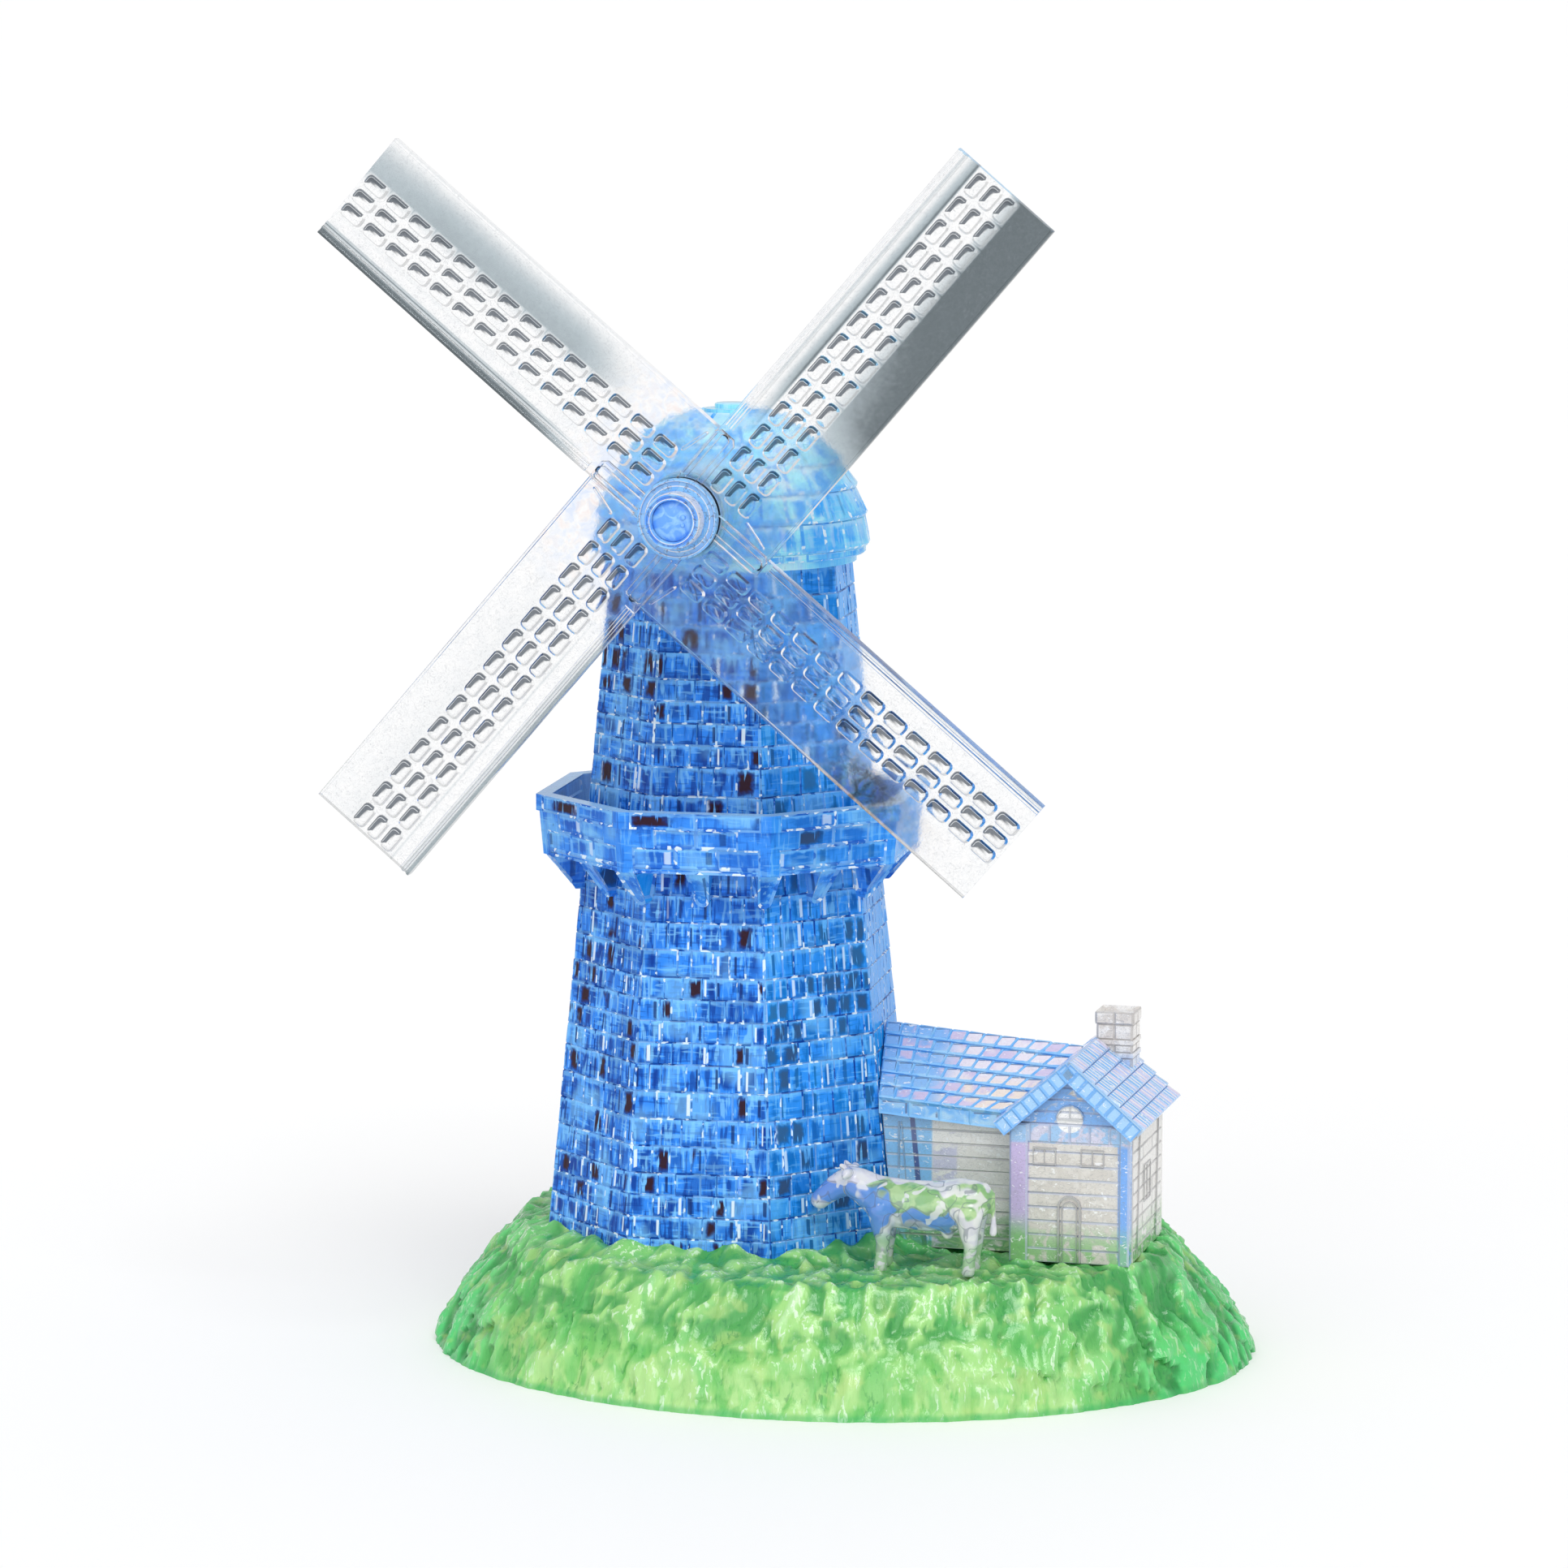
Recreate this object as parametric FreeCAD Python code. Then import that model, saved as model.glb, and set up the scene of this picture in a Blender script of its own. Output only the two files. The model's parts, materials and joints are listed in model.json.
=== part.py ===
import FreeCAD, Part
import math
import os

"""Interlocking puzzle model of a tower windmill, in translucent plastic.

An octagonal brick tower stands on a grass mound. A dome cap carries a four-armed sail cross that
turns on a horizontal windshaft. A small cottage and a cow stand beside the tower.

Frame: millimetres, +Z up, +Y from the sails to the back, +X towards the cottage.
The origin is on the table, at the centre of the footprint of the whole model.
"""

# ---------------------------------------------------------------- driving dimensions

FIT = 0.05                     # gap of a snap fit, per side
RUNNING_GAP = 0.08             # radial gap of the windshaft in its housing
MOVING_GAP = 0.3               # axial gap between the rotor and the fixed parts

# Grass mound: (height, half length along X, half width along Y), bottom to top.
MOUND_SECTIONS = [
    (0.0, 63.5, 51.0),
    (6.0, 63.2, 50.8),
    (12.0, 61.0, 49.4),
    (16.0, 58.2, 47.2),
    (18.5, 55.0, 45.0),
]
MOUND_WALL = 3.0
SPIGOT_GAP = 0.3               # between the spigot ring on the mound and the tower wall
SPIGOT_H = 2.5
SPIGOT_WALL = 3.0
GROUND = MOUND_SECTIONS[-1][0]

# Tower: an octagonal frustum with one facet facing each of -Y, +X, +Y and -X.
TOWER_FROM_MOUND_X = -16.5
TOWER_Y = -4.0
TOWER_TOP = 121.5
TOWER_R_BOTTOM = 28.7
TOWER_R_TOP = 18.4
TOWER_WALL = 6.5               # at a corner
HALF_FACET = 22.5              # degrees
APOTHEM = math.cos(math.radians(HALF_FACET))
COURSES_BELOW_DECK = [4, 5, 4, 5]
COURSES_ABOVE_DECK = [4, 4, 5]
PEG_R = 1.2
PEG_H = 1.6
KEY_R = 1.3
KEY_OUT = 0.6

# Gallery: a deck clamped between two tower layers, with a parapet and sixteen brackets.
DECK_Z = 77.2
DECK_T = 2.0
PARAPET_TOP = 86.4
PARAPET_R_BOTTOM = 29.2
PARAPET_R_TOP = 30.0
PARAPET_T = 2.2
RAIL_H = 2.5
RAIL_OUT = 0.3
BRACKET_FOOT_Z = 71.6
BRACKET_T = 2.0
BRACKET_COUNT = 16
BRACKET_TIP_R = 0.7
GALLERY_SPLIT = 11.25          # degrees, between two brackets

# Cap: a round ring, then a dome in stepped tiers on an elliptical outline.
RING_R = 19.2
RING_BORE_R = 12.0
DOME_Z = 124.0
DOME_R = 20.8
DOME_RISE = 21.0
TIER_Z = [124.0, 128.4, 132.7, 136.6, 139.8, 142.2, 143.9]
TIER_STEP = 0.5
TIERS_IN_HALVES = 4
DOME_PEG_AT_R = 15.0
FINIAL_TOP = 145.2
FINIAL_R = 2.6
FINIAL_RING_R = 4.2
FINIAL_RING_H = 0.5

# Rotor, with distances measured along Y from the tower axis.
HUB_Z = 131.4
SAIL_PLANE = -38.0
SAIL_T = 1.8
SAIL_LEAD = 4.1                # spar line to leading edge
SAIL_TRAIL = 13.9              # spar line to trailing edge
SAIL_REACH = 67.3              # hub axis to sail tip, along the spar
SAIL_ANGLE = 49.2              # degrees above +X, seen from the front, of the first sail
SAIL_COUNT = 4
SPAR_RIB_W = 1.8
SPAR_RIB_T = 0.7
HUB_DISC_R = 5.9
HUB_DISC_T = 1.5
HUB_BODY_R = 4.1
NOSE_OUT = 6.3                 # nose face, in front of the sail plane
HUB_CAP_R = 3.0
HUB_CAP_T = 1.4
HUB_CAP_SUNK = 0.4
ARM_W = 3.2
COLLAR_T = 1.5
SHAFT_R = 2.0
HOUSING_R_FRONT = 6.3
HOUSING_R_BACK = 7.2
HOUSING_ROOT_Y = -14.5         # inside the dome, where the cone is trimmed away
TENON_R = 4.0
TENON_END = -14.0
POCKET_R = 4.8
POCKET_END = -10.0
CLIP_R = 3.8
CLIP_T = 1.4

# Cottage, in its own frame: x along the front wall, y into the depth, z up from the ground.
COTTAGE_FROM_MOUND = (29.1, -20.4)
COTTAGE_TURN = -4.0            # degrees about +Z
WALL_T = 1.5
ROOF_T = 2.0                   # measured straight up
WING_W = 18.3
WING_D = 24.4
WING_RIDGE_Z = 31.1
WING_EAVE_Z = 21.2
WING_EAVE_OUT = 2.2
MAIN_FRONT_Y = 5.2
MAIN_EAVE_OUT = 1.9
MAIN_RIDGE_Z = 30.4            # where the main ridge meets the wing ridge
MAIN_RISE = 9.5
MAIN_FALL = 0.0787             # drop of the main roof per millimetre towards the wing
MAIN_REACH = 28.0              # how far the main block runs towards the tower before it is trimmed
POST_LEFT_W = 2.8
POST_RIGHT_W = 1.6
POST_OUT = 0.6
LINTEL_H = 2.8
LINTEL_OUT = 0.4
PANEL_DEPTH = 0.5              # how deep the door and the windows are cut into the wall
DOOR_W = 3.3
DOOR_H = 10.0
WINDOW_X = [3.6, 10.9]
WINDOW_W = 3.4
WINDOW_Z = (15.2, 17.6)
GABLE_WINDOW_R = 2.05
GABLE_WINDOW_UP = 0.8          # above the lintel
CHIMNEY_AT = (11.9, 21.4)
CHIMNEY_W = 5.4
CHIMNEY_CAP_W = 5.9
CHIMNEY_TOP = 35.0
CHIMNEY_CAP_H = 1.9
CHIMNEY_BANDS = [30.0, 28.0]   # heights of the two raised bands
CHIMNEY_BAND_H = 0.7
CHIMNEY_BAND_OUT = 0.3

# Cow, in its own frame: muzzle towards -x, z up from the ground.
COW_FROM_MOUND = (18.4, -28.6)
COW_TURN = -4.0                # degrees about +Z
COW_LEG_X = 7.3
COW_LEG_Y = 1.9
COW_BELLY_Z = 7.2
COW_BODY_R = 3.5
COW_HOOF_R = 0.9
COW_THIGH_R = 1.5
COW_RUMP_X = 5.3
COW_NECK = (-5.2, 0, 2.2)      # from the shoulder to the poll
COW_NECK_R = (3.0, 1.9)
COW_HEAD = (-4.6, 0, -4.2)     # from the poll to the muzzle
COW_HEAD_R = (2.0, 1.1)

# ---------------------------------------------------------------- derived places

sail_turn = math.radians(SAIL_ANGLE)
rotor_half_width = SAIL_REACH * math.cos(sail_turn) + SAIL_TRAIL * math.sin(sail_turn)
footprint_left = TOWER_FROM_MOUND_X - rotor_half_width
footprint_right = MOUND_SECTIONS[0][1]
MOUND_X = -(footprint_left + footprint_right) / 2
TOWER_X = MOUND_X + TOWER_FROM_MOUND_X

Vector = FreeCAD.Vector
UP = Vector(0, 0, 1)
BACK = Vector(0, 1, 0)


# ---------------------------------------------------------------- small helpers

def polar(radius, degrees, z=0.0):
    """Return the point at a radius and an angle about the Z axis."""
    angle = math.radians(degrees)
    return Vector(radius * math.cos(angle), radius * math.sin(angle), z)


def closed_wire(points):
    """Return the closed polygon through the points."""
    return Part.makePolygon(list(points) + [points[0]])


def extruded(points, direction):
    """Return the solid swept by a flat polygon."""
    return Part.Face(closed_wire(points)).extrude(direction)


def octagon(radius, z):
    """Return an octagon of a given corner radius, with facets square to X and Y."""
    return closed_wire([polar(radius, HALF_FACET + 45 * k, z) for k in range(8)])


def octagonal_frustum(z0, r0, z1, r1):
    """Return a solid between two octagons."""
    return Part.makeLoft([octagon(r0, z0), octagon(r1, z1)], True, True)


def peg(point, radius, height):
    """Return an upright cylinder standing on a point."""
    return Part.makeCylinder(radius, height, point, UP)


def along_y(radius, y0, y1):
    """Return a cylinder on the windshaft axis, from y0 to y1."""
    return Part.makeCylinder(radius, y1 - y0, Vector(0, y0, HUB_Z), BACK)


def only_solid(shape):
    """Return the one solid of a boolean result."""
    if len(shape.Solids) != 1:
        raise ValueError("expected one solid, found %d" % len(shape.Solids))
    return shape.Solids[0]


def at_tower(shape):
    """Move a shape from the tower axis to its place in the model."""
    return shape.translated(Vector(TOWER_X, TOWER_Y, 0))


def at_cottage(shape):
    """Turn and move a shape from the cottage frame to its place in the model."""
    turned = shape.rotated(Vector(0, 0, 0), UP, COTTAGE_TURN)
    return turned.translated(Vector(MOUND_X + COTTAGE_FROM_MOUND[0], COTTAGE_FROM_MOUND[1], GROUND))


# ---------------------------------------------------------------- mound

def mound_envelope(inset, top):
    """Return the solid mound, drawn in by an inset and cut off at a height."""
    sections = [s for s in MOUND_SECTIONS if s[0] < top]
    wires = []
    for z, half_x, half_y in sections:
        wires.append(Part.Wire(Part.Ellipse(Vector(0, 0, z), half_x - inset, half_y - inset).toShape()))
    upper = MOUND_SECTIONS[len(sections)]
    lower = sections[-1]
    share = (top - lower[0]) / (upper[0] - lower[0])
    half_x = lower[1] + share * (upper[1] - lower[1]) - inset
    half_y = lower[2] + share * (upper[2] - lower[2]) - inset
    wires.append(Part.Wire(Part.Ellipse(Vector(0, 0, top), half_x, half_y).toShape()))
    return Part.makeLoft(wires, True, False)


def base_mound():
    """Return the hollow mound with a spigot ring that centres the tower."""
    shell = mound_envelope(0, GROUND).cut(mound_envelope(MOUND_WALL, GROUND - MOUND_WALL))
    top = GROUND + SPIGOT_H
    foot_r = tower_r(GROUND) - TOWER_WALL - SPIGOT_GAP
    head_r = tower_r(top) - TOWER_WALL - SPIGOT_GAP
    spigot = octagonal_frustum(GROUND, foot_r, top, head_r)
    spigot = spigot.cut(peg(Vector(0, 0, GROUND), head_r * APOTHEM - SPIGOT_WALL, SPIGOT_H))
    shell = shell.translated(Vector(MOUND_X, 0, 0))
    return only_solid(shell.fuse(at_tower(spigot)))


# ---------------------------------------------------------------- tower

def tower_r(z):
    """Return the corner radius of the tower at a height."""
    share = (z - GROUND) / (TOWER_TOP - GROUND)
    return TOWER_R_BOTTOM + share * (TOWER_R_TOP - TOWER_R_BOTTOM)


def tower_solid(z0, z1, grow=0.0):
    """Return the outer envelope of the tower between two heights."""
    return octagonal_frustum(z0, tower_r(z0) + grow, z1, tower_r(z1) + grow)


def layer_heights():
    """Return (bottom, top) of each tower layer, from the ground up."""
    heights = []
    stacks = [(GROUND, DECK_Z, COURSES_BELOW_DECK), (DECK_Z + DECK_T, TOWER_TOP, COURSES_ABOVE_DECK)]
    for bottom, top, courses in stacks:
        course = (top - bottom) / sum(courses)
        z = bottom
        for count in courses:
            heights.append((z, z + count * course))
            z += count * course
    return heights


def quarter_section(start, z):
    """Return the outline of a quarter of the tower wall at a height."""
    outer = tower_r(z)
    inner = outer - TOWER_WALL
    corners = [(0, APOTHEM), (HALF_FACET, 1), (90 - HALF_FACET, 1), (90, APOTHEM)]
    points = [polar(outer * reach, start + angle, z) for angle, reach in corners]
    points += [polar(inner * reach, start + angle, z) for angle, reach in reversed(corners)]
    return closed_wire(points)


def key(start, z0, z1, radius):
    """Return the upright jigsaw key that crosses a joint at an angle."""
    middle = (z0 + z1) / 2
    centre = polar((tower_r(middle) - TOWER_WALL / 2) * APOTHEM, start, z0)
    centre = centre + polar(KEY_OUT, start + 90)
    return peg(centre, radius, z1 - z0)


def peg_points(z, root_z=None):
    """Return the eight peg places at a height. Pegs keep the radius they have at their root."""
    radius = tower_r(z if root_z is None else root_z) - TOWER_WALL / 2
    return [polar(radius, HALF_FACET + 45 * k, z) for k in range(8)]


def tower_quarter(start, z0, z1, peg_height):
    """Return one piece of a tower layer, with a key, a key slot, two pegs and two sockets."""
    root_z = DECK_Z if z0 == DECK_Z + DECK_T else z0
    body = Part.makeLoft([quarter_section(start, z0), quarter_section(start, z1)], True, True)
    body = body.fuse(key(start + 90, z0, z1, KEY_R))
    body = body.cut(key(start, z0, z1, KEY_R + FIT))
    first = int(start // 45)
    for k in (first, first + 1):
        body = body.fuse(peg(peg_points(z1)[k % 8], PEG_R, peg_height))
        body = body.cut(peg(peg_points(z0, root_z)[k % 8], PEG_R + FIT, PEG_H + 2 * FIT))
    return at_tower(only_solid(body))


def tower_pieces():
    """Return every tower piece by name. Joints of one layer stand half a quarter from the next."""
    pieces = {}
    for number, (z0, z1) in enumerate(layer_heights(), start=1):
        start = 0 if number % 2 else 45
        under_deck = number == len(COURSES_BELOW_DECK)
        peg_height = PEG_H + (DECK_T if under_deck else 0)
        for quarter, letter in enumerate("abcd"):
            name = "tower_layer%d_%s" % (number, letter)
            pieces[name] = tower_quarter(start + 90 * quarter, z0, z1, peg_height)
    return pieces


# ---------------------------------------------------------------- gallery

def bracket(angle):
    """Return one triangular bracket with a rounded foot, before it is trimmed to the tower."""
    inner = tower_r(BRACKET_FOOT_Z) * APOTHEM - 1
    on_corner = (angle / HALF_FACET) % 2 == 1
    wall = tower_r(BRACKET_FOOT_Z) * (1 if on_corner else APOTHEM)
    outer = (PARAPET_R_BOTTOM - 0.4) * (1 if on_corner else APOTHEM)
    foot = BRACKET_FOOT_Z
    outline = [(inner, DECK_Z), (outer, DECK_Z), (wall + 2 * BRACKET_TIP_R, foot + BRACKET_TIP_R),
               (wall + BRACKET_TIP_R, foot), (inner, foot)]
    points = [Vector(x, 0, z) for x, z in outline]
    plate = extruded(points, Vector(0, BRACKET_T, 0)).translated(Vector(0, -BRACKET_T / 2, 0))
    return plate.rotated(Vector(0, 0, 0), UP, angle)


def gallery_ring():
    """Return the whole gallery, as one ring about the tower axis."""
    ring = octagonal_frustum(DECK_Z, PARAPET_R_BOTTOM, PARAPET_TOP, PARAPET_R_TOP)
    rail_z = PARAPET_TOP - RAIL_H
    rail_r = PARAPET_R_TOP + RAIL_OUT
    ring = ring.fuse(octagonal_frustum(rail_z, rail_r, PARAPET_TOP, rail_r))
    walk_r = PARAPET_R_BOTTOM - PARAPET_T
    ring = ring.cut(octagonal_frustum(DECK_Z + DECK_T, walk_r, PARAPET_TOP, PARAPET_R_TOP - PARAPET_T))
    for k in range(BRACKET_COUNT):
        ring = ring.fuse(bracket(k * 360 / BRACKET_COUNT))
    ring = ring.cut(tower_solid(BRACKET_FOOT_Z - 2, DECK_Z))
    core_r = tower_r(DECK_Z + DECK_T) - TOWER_WALL
    ring = ring.cut(octagonal_frustum(DECK_Z, core_r, DECK_Z + DECK_T, core_r))
    for point in peg_points(DECK_Z):
        ring = ring.cut(peg(point, PEG_R + FIT, DECK_T))
    return ring


def gallery_pieces():
    """Return the four quarters of the gallery by name."""
    ring = gallery_ring()
    reach = 2 * PARAPET_R_TOP
    pieces = {}
    for quarter, letter in enumerate("abcd"):
        start = GALLERY_SPLIT + 90 * quarter
        outline = [Vector(0, 0, GROUND)] + [polar(reach, start + turn, GROUND) for turn in (0, 45, 90)]
        wedge = extruded(outline, Vector(0, 0, TOWER_TOP - GROUND))
        pieces["gallery_%s" % letter] = at_tower(only_solid(ring.common(wedge)))
    return pieces


# ---------------------------------------------------------------- cap

def dome_r(z):
    """Return the radius of the dome's elliptical outline at a height."""
    rise = (z - DOME_Z) / DOME_RISE
    return DOME_R * math.sqrt(1 - rise * rise)


def dome_tiers(first, last):
    """Return the solid of some tiers. Each tier starts wider than the one below it ends."""
    bottom = TIER_Z[first]
    points = [Vector(0, 0, bottom)]
    for tier in range(first, last):
        points.append(Vector(dome_r(TIER_Z[tier]), 0, TIER_Z[tier]))
        points.append(Vector(dome_r(TIER_Z[tier + 1]) - TIER_STEP, 0, TIER_Z[tier + 1]))
    points.append(Vector(0, 0, TIER_Z[last]))
    return Part.Face(closed_wire(points)).revolve(Vector(0, 0, 0), UP, 360)


def dome_pegs():
    """Return the pegs that join the cap ring to the dome halves."""
    return [polar(DOME_PEG_AT_R, 45 + 90 * k, DOME_Z) for k in range(4)]


def cap_ring():
    """Return the round ring between the tower top and the dome."""
    height = DOME_Z - TOWER_TOP
    ring = Part.makeCylinder(RING_R, height, Vector(0, 0, TOWER_TOP), UP)
    ring = ring.cut(Part.makeCylinder(RING_BORE_R, height, Vector(0, 0, TOWER_TOP), UP))
    for point in peg_points(TOWER_TOP):
        ring = ring.cut(peg(point, PEG_R + FIT, PEG_H + 2 * FIT))
    for point in dome_pegs():
        ring = ring.fuse(peg(point, PEG_R, PEG_H))
    return at_tower(only_solid(ring))


def dome_halves():
    """Return the front and back halves of the lower dome, around the windshaft pocket."""
    body = dome_tiers(0, TIERS_IN_HALVES)
    for point in dome_pegs():
        body = body.cut(peg(point, PEG_R + FIT, PEG_H + 2 * FIT))
    body = body.cut(along_y(TENON_R + FIT, -DOME_R, TENON_END))
    body = body.cut(along_y(POCKET_R, TENON_END, POCKET_END))
    top = TIER_Z[TIERS_IN_HALVES]
    body = body.cut(peg(Vector(0, 0, top - PEG_H), 2 * PEG_R + FIT, PEG_H))
    size = 3 * DOME_R
    front_box = Part.makeBox(size, size / 2, size, Vector(-size / 2, -size / 2, TOWER_TOP))
    return at_tower(only_solid(body.common(front_box))), at_tower(only_solid(body.cut(front_box)))


def dome_top():
    """Return the crown of the dome with its finial disc."""
    bottom = TIER_Z[TIERS_IN_HALVES]
    crown = dome_tiers(TIERS_IN_HALVES, len(TIER_Z) - 1)
    crown = crown.fuse(peg(Vector(0, 0, bottom - PEG_H), 2 * PEG_R, PEG_H))
    crown = crown.fuse(peg(Vector(0, 0, TIER_Z[-1]), FINIAL_RING_R, FINIAL_RING_H))
    crown = crown.fuse(peg(Vector(0, 0, TIER_Z[-1]), FINIAL_R, FINIAL_TOP - TIER_Z[-1]))
    return at_tower(only_solid(crown))


def shaft_housing():
    """Return the smooth tapered nose of the cap that carries the windshaft."""
    front = SAIL_PLANE + SAIL_T / 2 + COLLAR_T + MOVING_GAP
    length = HOUSING_ROOT_Y - front
    cone = Part.makeCone(HOUSING_R_FRONT, HOUSING_R_BACK, length, Vector(0, front, HUB_Z), BACK)
    cone = cone.cut(dome_tiers(0, TIERS_IN_HALVES))
    cone = max(cone.Solids, key=lambda solid: solid.Volume)
    body = cone.fuse(along_y(TENON_R, -DOME_R, TENON_END))
    body = body.cut(along_y(SHAFT_R + RUNNING_GAP, front, TENON_END))
    return at_tower(only_solid(body))


# ---------------------------------------------------------------- rotor

def sail_point(number, along, across, y):
    """Return a point of a sail, from distances along its spar and across towards its trailing edge."""
    angle = sail_turn + number * 2 * math.pi / SAIL_COUNT
    x = along * math.cos(angle) + across * math.sin(angle)
    z = along * math.sin(angle) - across * math.cos(angle)
    return Vector(x, y, HUB_Z + z)


def sail_slab(number, along, across, y0, y1):
    """Return a box that lies in a sail, between two limits along, across and in depth."""
    corners = [(along[0], across[0]), (along[1], across[0]), (along[1], across[1]), (along[0], across[1])]
    points = [sail_point(number, u, v, y0) for u, v in corners]
    return extruded(points, Vector(0, y1 - y0, 0))


def sail(number):
    """Return one sail: a flat blade with a rib down its leading edge."""
    front = SAIL_PLANE - SAIL_T / 2
    back = SAIL_PLANE + SAIL_T / 2
    start = SAIL_LEAD + FIT
    blade = sail_slab(number, (start, SAIL_REACH), (-SAIL_LEAD, SAIL_TRAIL), front, back)
    rib_start = SAIL_TRAIL + FIT
    rib_width = (-SAIL_LEAD, -SAIL_LEAD + SPAR_RIB_W)
    rib = sail_slab(number, (rib_start, SAIL_REACH), rib_width, front - SPAR_RIB_T, front)
    blade = blade.fuse(rib)
    blade = blade.cut(along_y(HUB_BODY_R + FIT, front, back))
    return at_tower(only_solid(blade))


def hub():
    """Return the hub: a hollow nose, a disc and four arms that lie on the sails."""
    disc_back = SAIL_PLANE - SAIL_T / 2
    disc_front = disc_back - HUB_DISC_T
    nose_face = SAIL_PLANE - NOSE_OUT
    body = along_y(HUB_BODY_R, nose_face, SAIL_PLANE + SAIL_T / 2)
    body = body.fuse(along_y(HUB_DISC_R, disc_front, disc_back))
    for number in range(SAIL_COUNT):
        across = (-SAIL_LEAD, -SAIL_LEAD + ARM_W)
        body = body.fuse(sail_slab(number, (SAIL_LEAD, SAIL_TRAIL), across, disc_front, disc_back))
    body = body.cut(along_y(HUB_CAP_R + FIT, nose_face, nose_face + HUB_CAP_T + HUB_CAP_SUNK))
    body = body.cut(along_y(SHAFT_R, SAIL_PLANE - NOSE_OUT / 2, SAIL_PLANE + SAIL_T / 2))
    return at_tower(only_solid(body))


def hub_cap():
    """Return the round lens that closes the nose of the hub."""
    back = SAIL_PLANE - NOSE_OUT + HUB_CAP_T + HUB_CAP_SUNK
    return at_tower(along_y(HUB_CAP_R, back - HUB_CAP_T, back))


def hub_collar():
    """Return the collar that clamps the sails against the hub from behind."""
    front = SAIL_PLANE + SAIL_T / 2
    collar = along_y(HUB_DISC_R, front, front + COLLAR_T)
    return at_tower(only_solid(collar.cut(along_y(SHAFT_R, front, front + COLLAR_T))))


def windshaft():
    """Return the horizontal shaft that turns in the cap."""
    return at_tower(along_y(SHAFT_R, SAIL_PLANE - NOSE_OUT / 2, POCKET_END - 3 * MOVING_GAP))


def shaft_clip():
    """Return the ring that keeps the windshaft from sliding out of the cap."""
    front = TENON_END + MOVING_GAP
    clip = along_y(CLIP_R, front, front + CLIP_T)
    return at_tower(only_solid(clip.cut(along_y(SHAFT_R, front, front + CLIP_T))))


# ---------------------------------------------------------------- cottage

wing_mid = WING_W / 2
wing_slope = (WING_RIDGE_Z - WING_EAVE_Z) / (wing_mid + WING_EAVE_OUT)
main_back_y = WING_D
main_mid_y = (MAIN_FRONT_Y + main_back_y) / 2
main_half_d = main_mid_y - MAIN_FRONT_Y + MAIN_EAVE_OUT


def wing_roof_z(x):
    """Return the height of the wing roof's upper face."""
    return WING_RIDGE_Z - wing_slope * abs(x - wing_mid)


def box(x0, x1, y0, y1, z0, z1):
    """Return a box between three pairs of limits."""
    return Part.makeBox(x1 - x0, y1 - y0, z1 - z0, Vector(x0, y0, z0))


def arched(centre_x, y0, y1, z0, width, height):
    """Return a round-headed solid for a door or a window."""
    radius = width / 2
    shape = box(centre_x - radius, centre_x + radius, y0, y1, z0, z0 + height - radius)
    return shape.fuse(Part.makeCylinder(radius, y1 - y0, Vector(centre_x, y0, z0 + height - radius), BACK))


def gable_plate(y0, y1):
    """Return a pentagonal end wall of the wing."""
    side = wing_roof_z(0) - ROOF_T
    outline = [(0, 0), (WING_W, 0), (WING_W, side), (wing_mid, WING_RIDGE_Z - ROOF_T), (0, side)]
    return extruded([Vector(x, y0, z) for x, z in outline], Vector(0, y1 - y0, 0))


def wing_front():
    """Return the front gable wall, with posts, a lintel band, a door and windows."""
    wall_top = wing_roof_z(0) - ROOF_T
    wall = gable_plate(0, WALL_T)
    wall = wall.fuse(box(0, POST_LEFT_W, -POST_OUT, 0, 0, wall_top))
    wall = wall.fuse(box(WING_W - POST_RIGHT_W, WING_W, -POST_OUT, 0, 0, wall_top))
    wall = wall.fuse(box(0, WING_W, -LINTEL_OUT, 0, wall_top - LINTEL_H, wall_top))
    sill = wall_top + GABLE_WINDOW_UP
    half_round = Part.makeCylinder(GABLE_WINDOW_R, WALL_T, Vector(wing_mid, 0, sill), BACK)
    wall = wall.cut(half_round.common(box(0, WING_W, 0, WALL_T, sill, WING_RIDGE_Z)))
    wall = wall.cut(arched(wing_mid, 0, PANEL_DEPTH, 0, DOOR_W, DOOR_H))
    for x in WINDOW_X:
        wall = wall.cut(box(x, x + WINDOW_W, 0, PANEL_DEPTH, WINDOW_Z[0], WINDOW_Z[1]))
    return at_cottage(only_solid(wall))


def wing_side(x0, x1):
    """Return a side wall of the wing, bevelled to the roof."""
    outline = [(x0, 0), (x1, 0), (x1, wing_roof_z(x1) - ROOF_T), (x0, wing_roof_z(x0) - ROOF_T)]
    points = [Vector(x, WALL_T, z) for x, z in outline]
    return at_cottage(extruded(points, Vector(0, WING_D - 2 * WALL_T, 0)))


def wing_roof(side):
    """Return one slope of the wing roof: side is -1 for the left and 1 for the right."""
    eave_x = wing_mid + side * (wing_mid + WING_EAVE_OUT)
    outline = [(wing_mid, WING_RIDGE_Z), (eave_x, WING_EAVE_Z), (eave_x, WING_EAVE_Z - ROOF_T),
               (wing_mid, WING_RIDGE_Z - ROOF_T)]
    points = [Vector(x, -WING_EAVE_OUT, z) for x, z in outline]
    return extruded(points, Vector(0, WING_D + WING_EAVE_OUT + MAIN_EAVE_OUT, 0))


def under_wing_roof():
    """Return everything below the upper face of the wing roof, out to its left eave."""
    left = -WING_EAVE_OUT
    right_z = wing_roof_z(WING_W)
    outline = [(left, 0), (left, WING_EAVE_Z), (wing_mid, WING_RIDGE_Z), (WING_W, right_z), (WING_W, 0)]
    points = [Vector(x, -WING_EAVE_OUT, z) for x, z in outline]
    return extruded(points, Vector(0, WING_D + 4 * WING_EAVE_OUT, 0))


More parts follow.
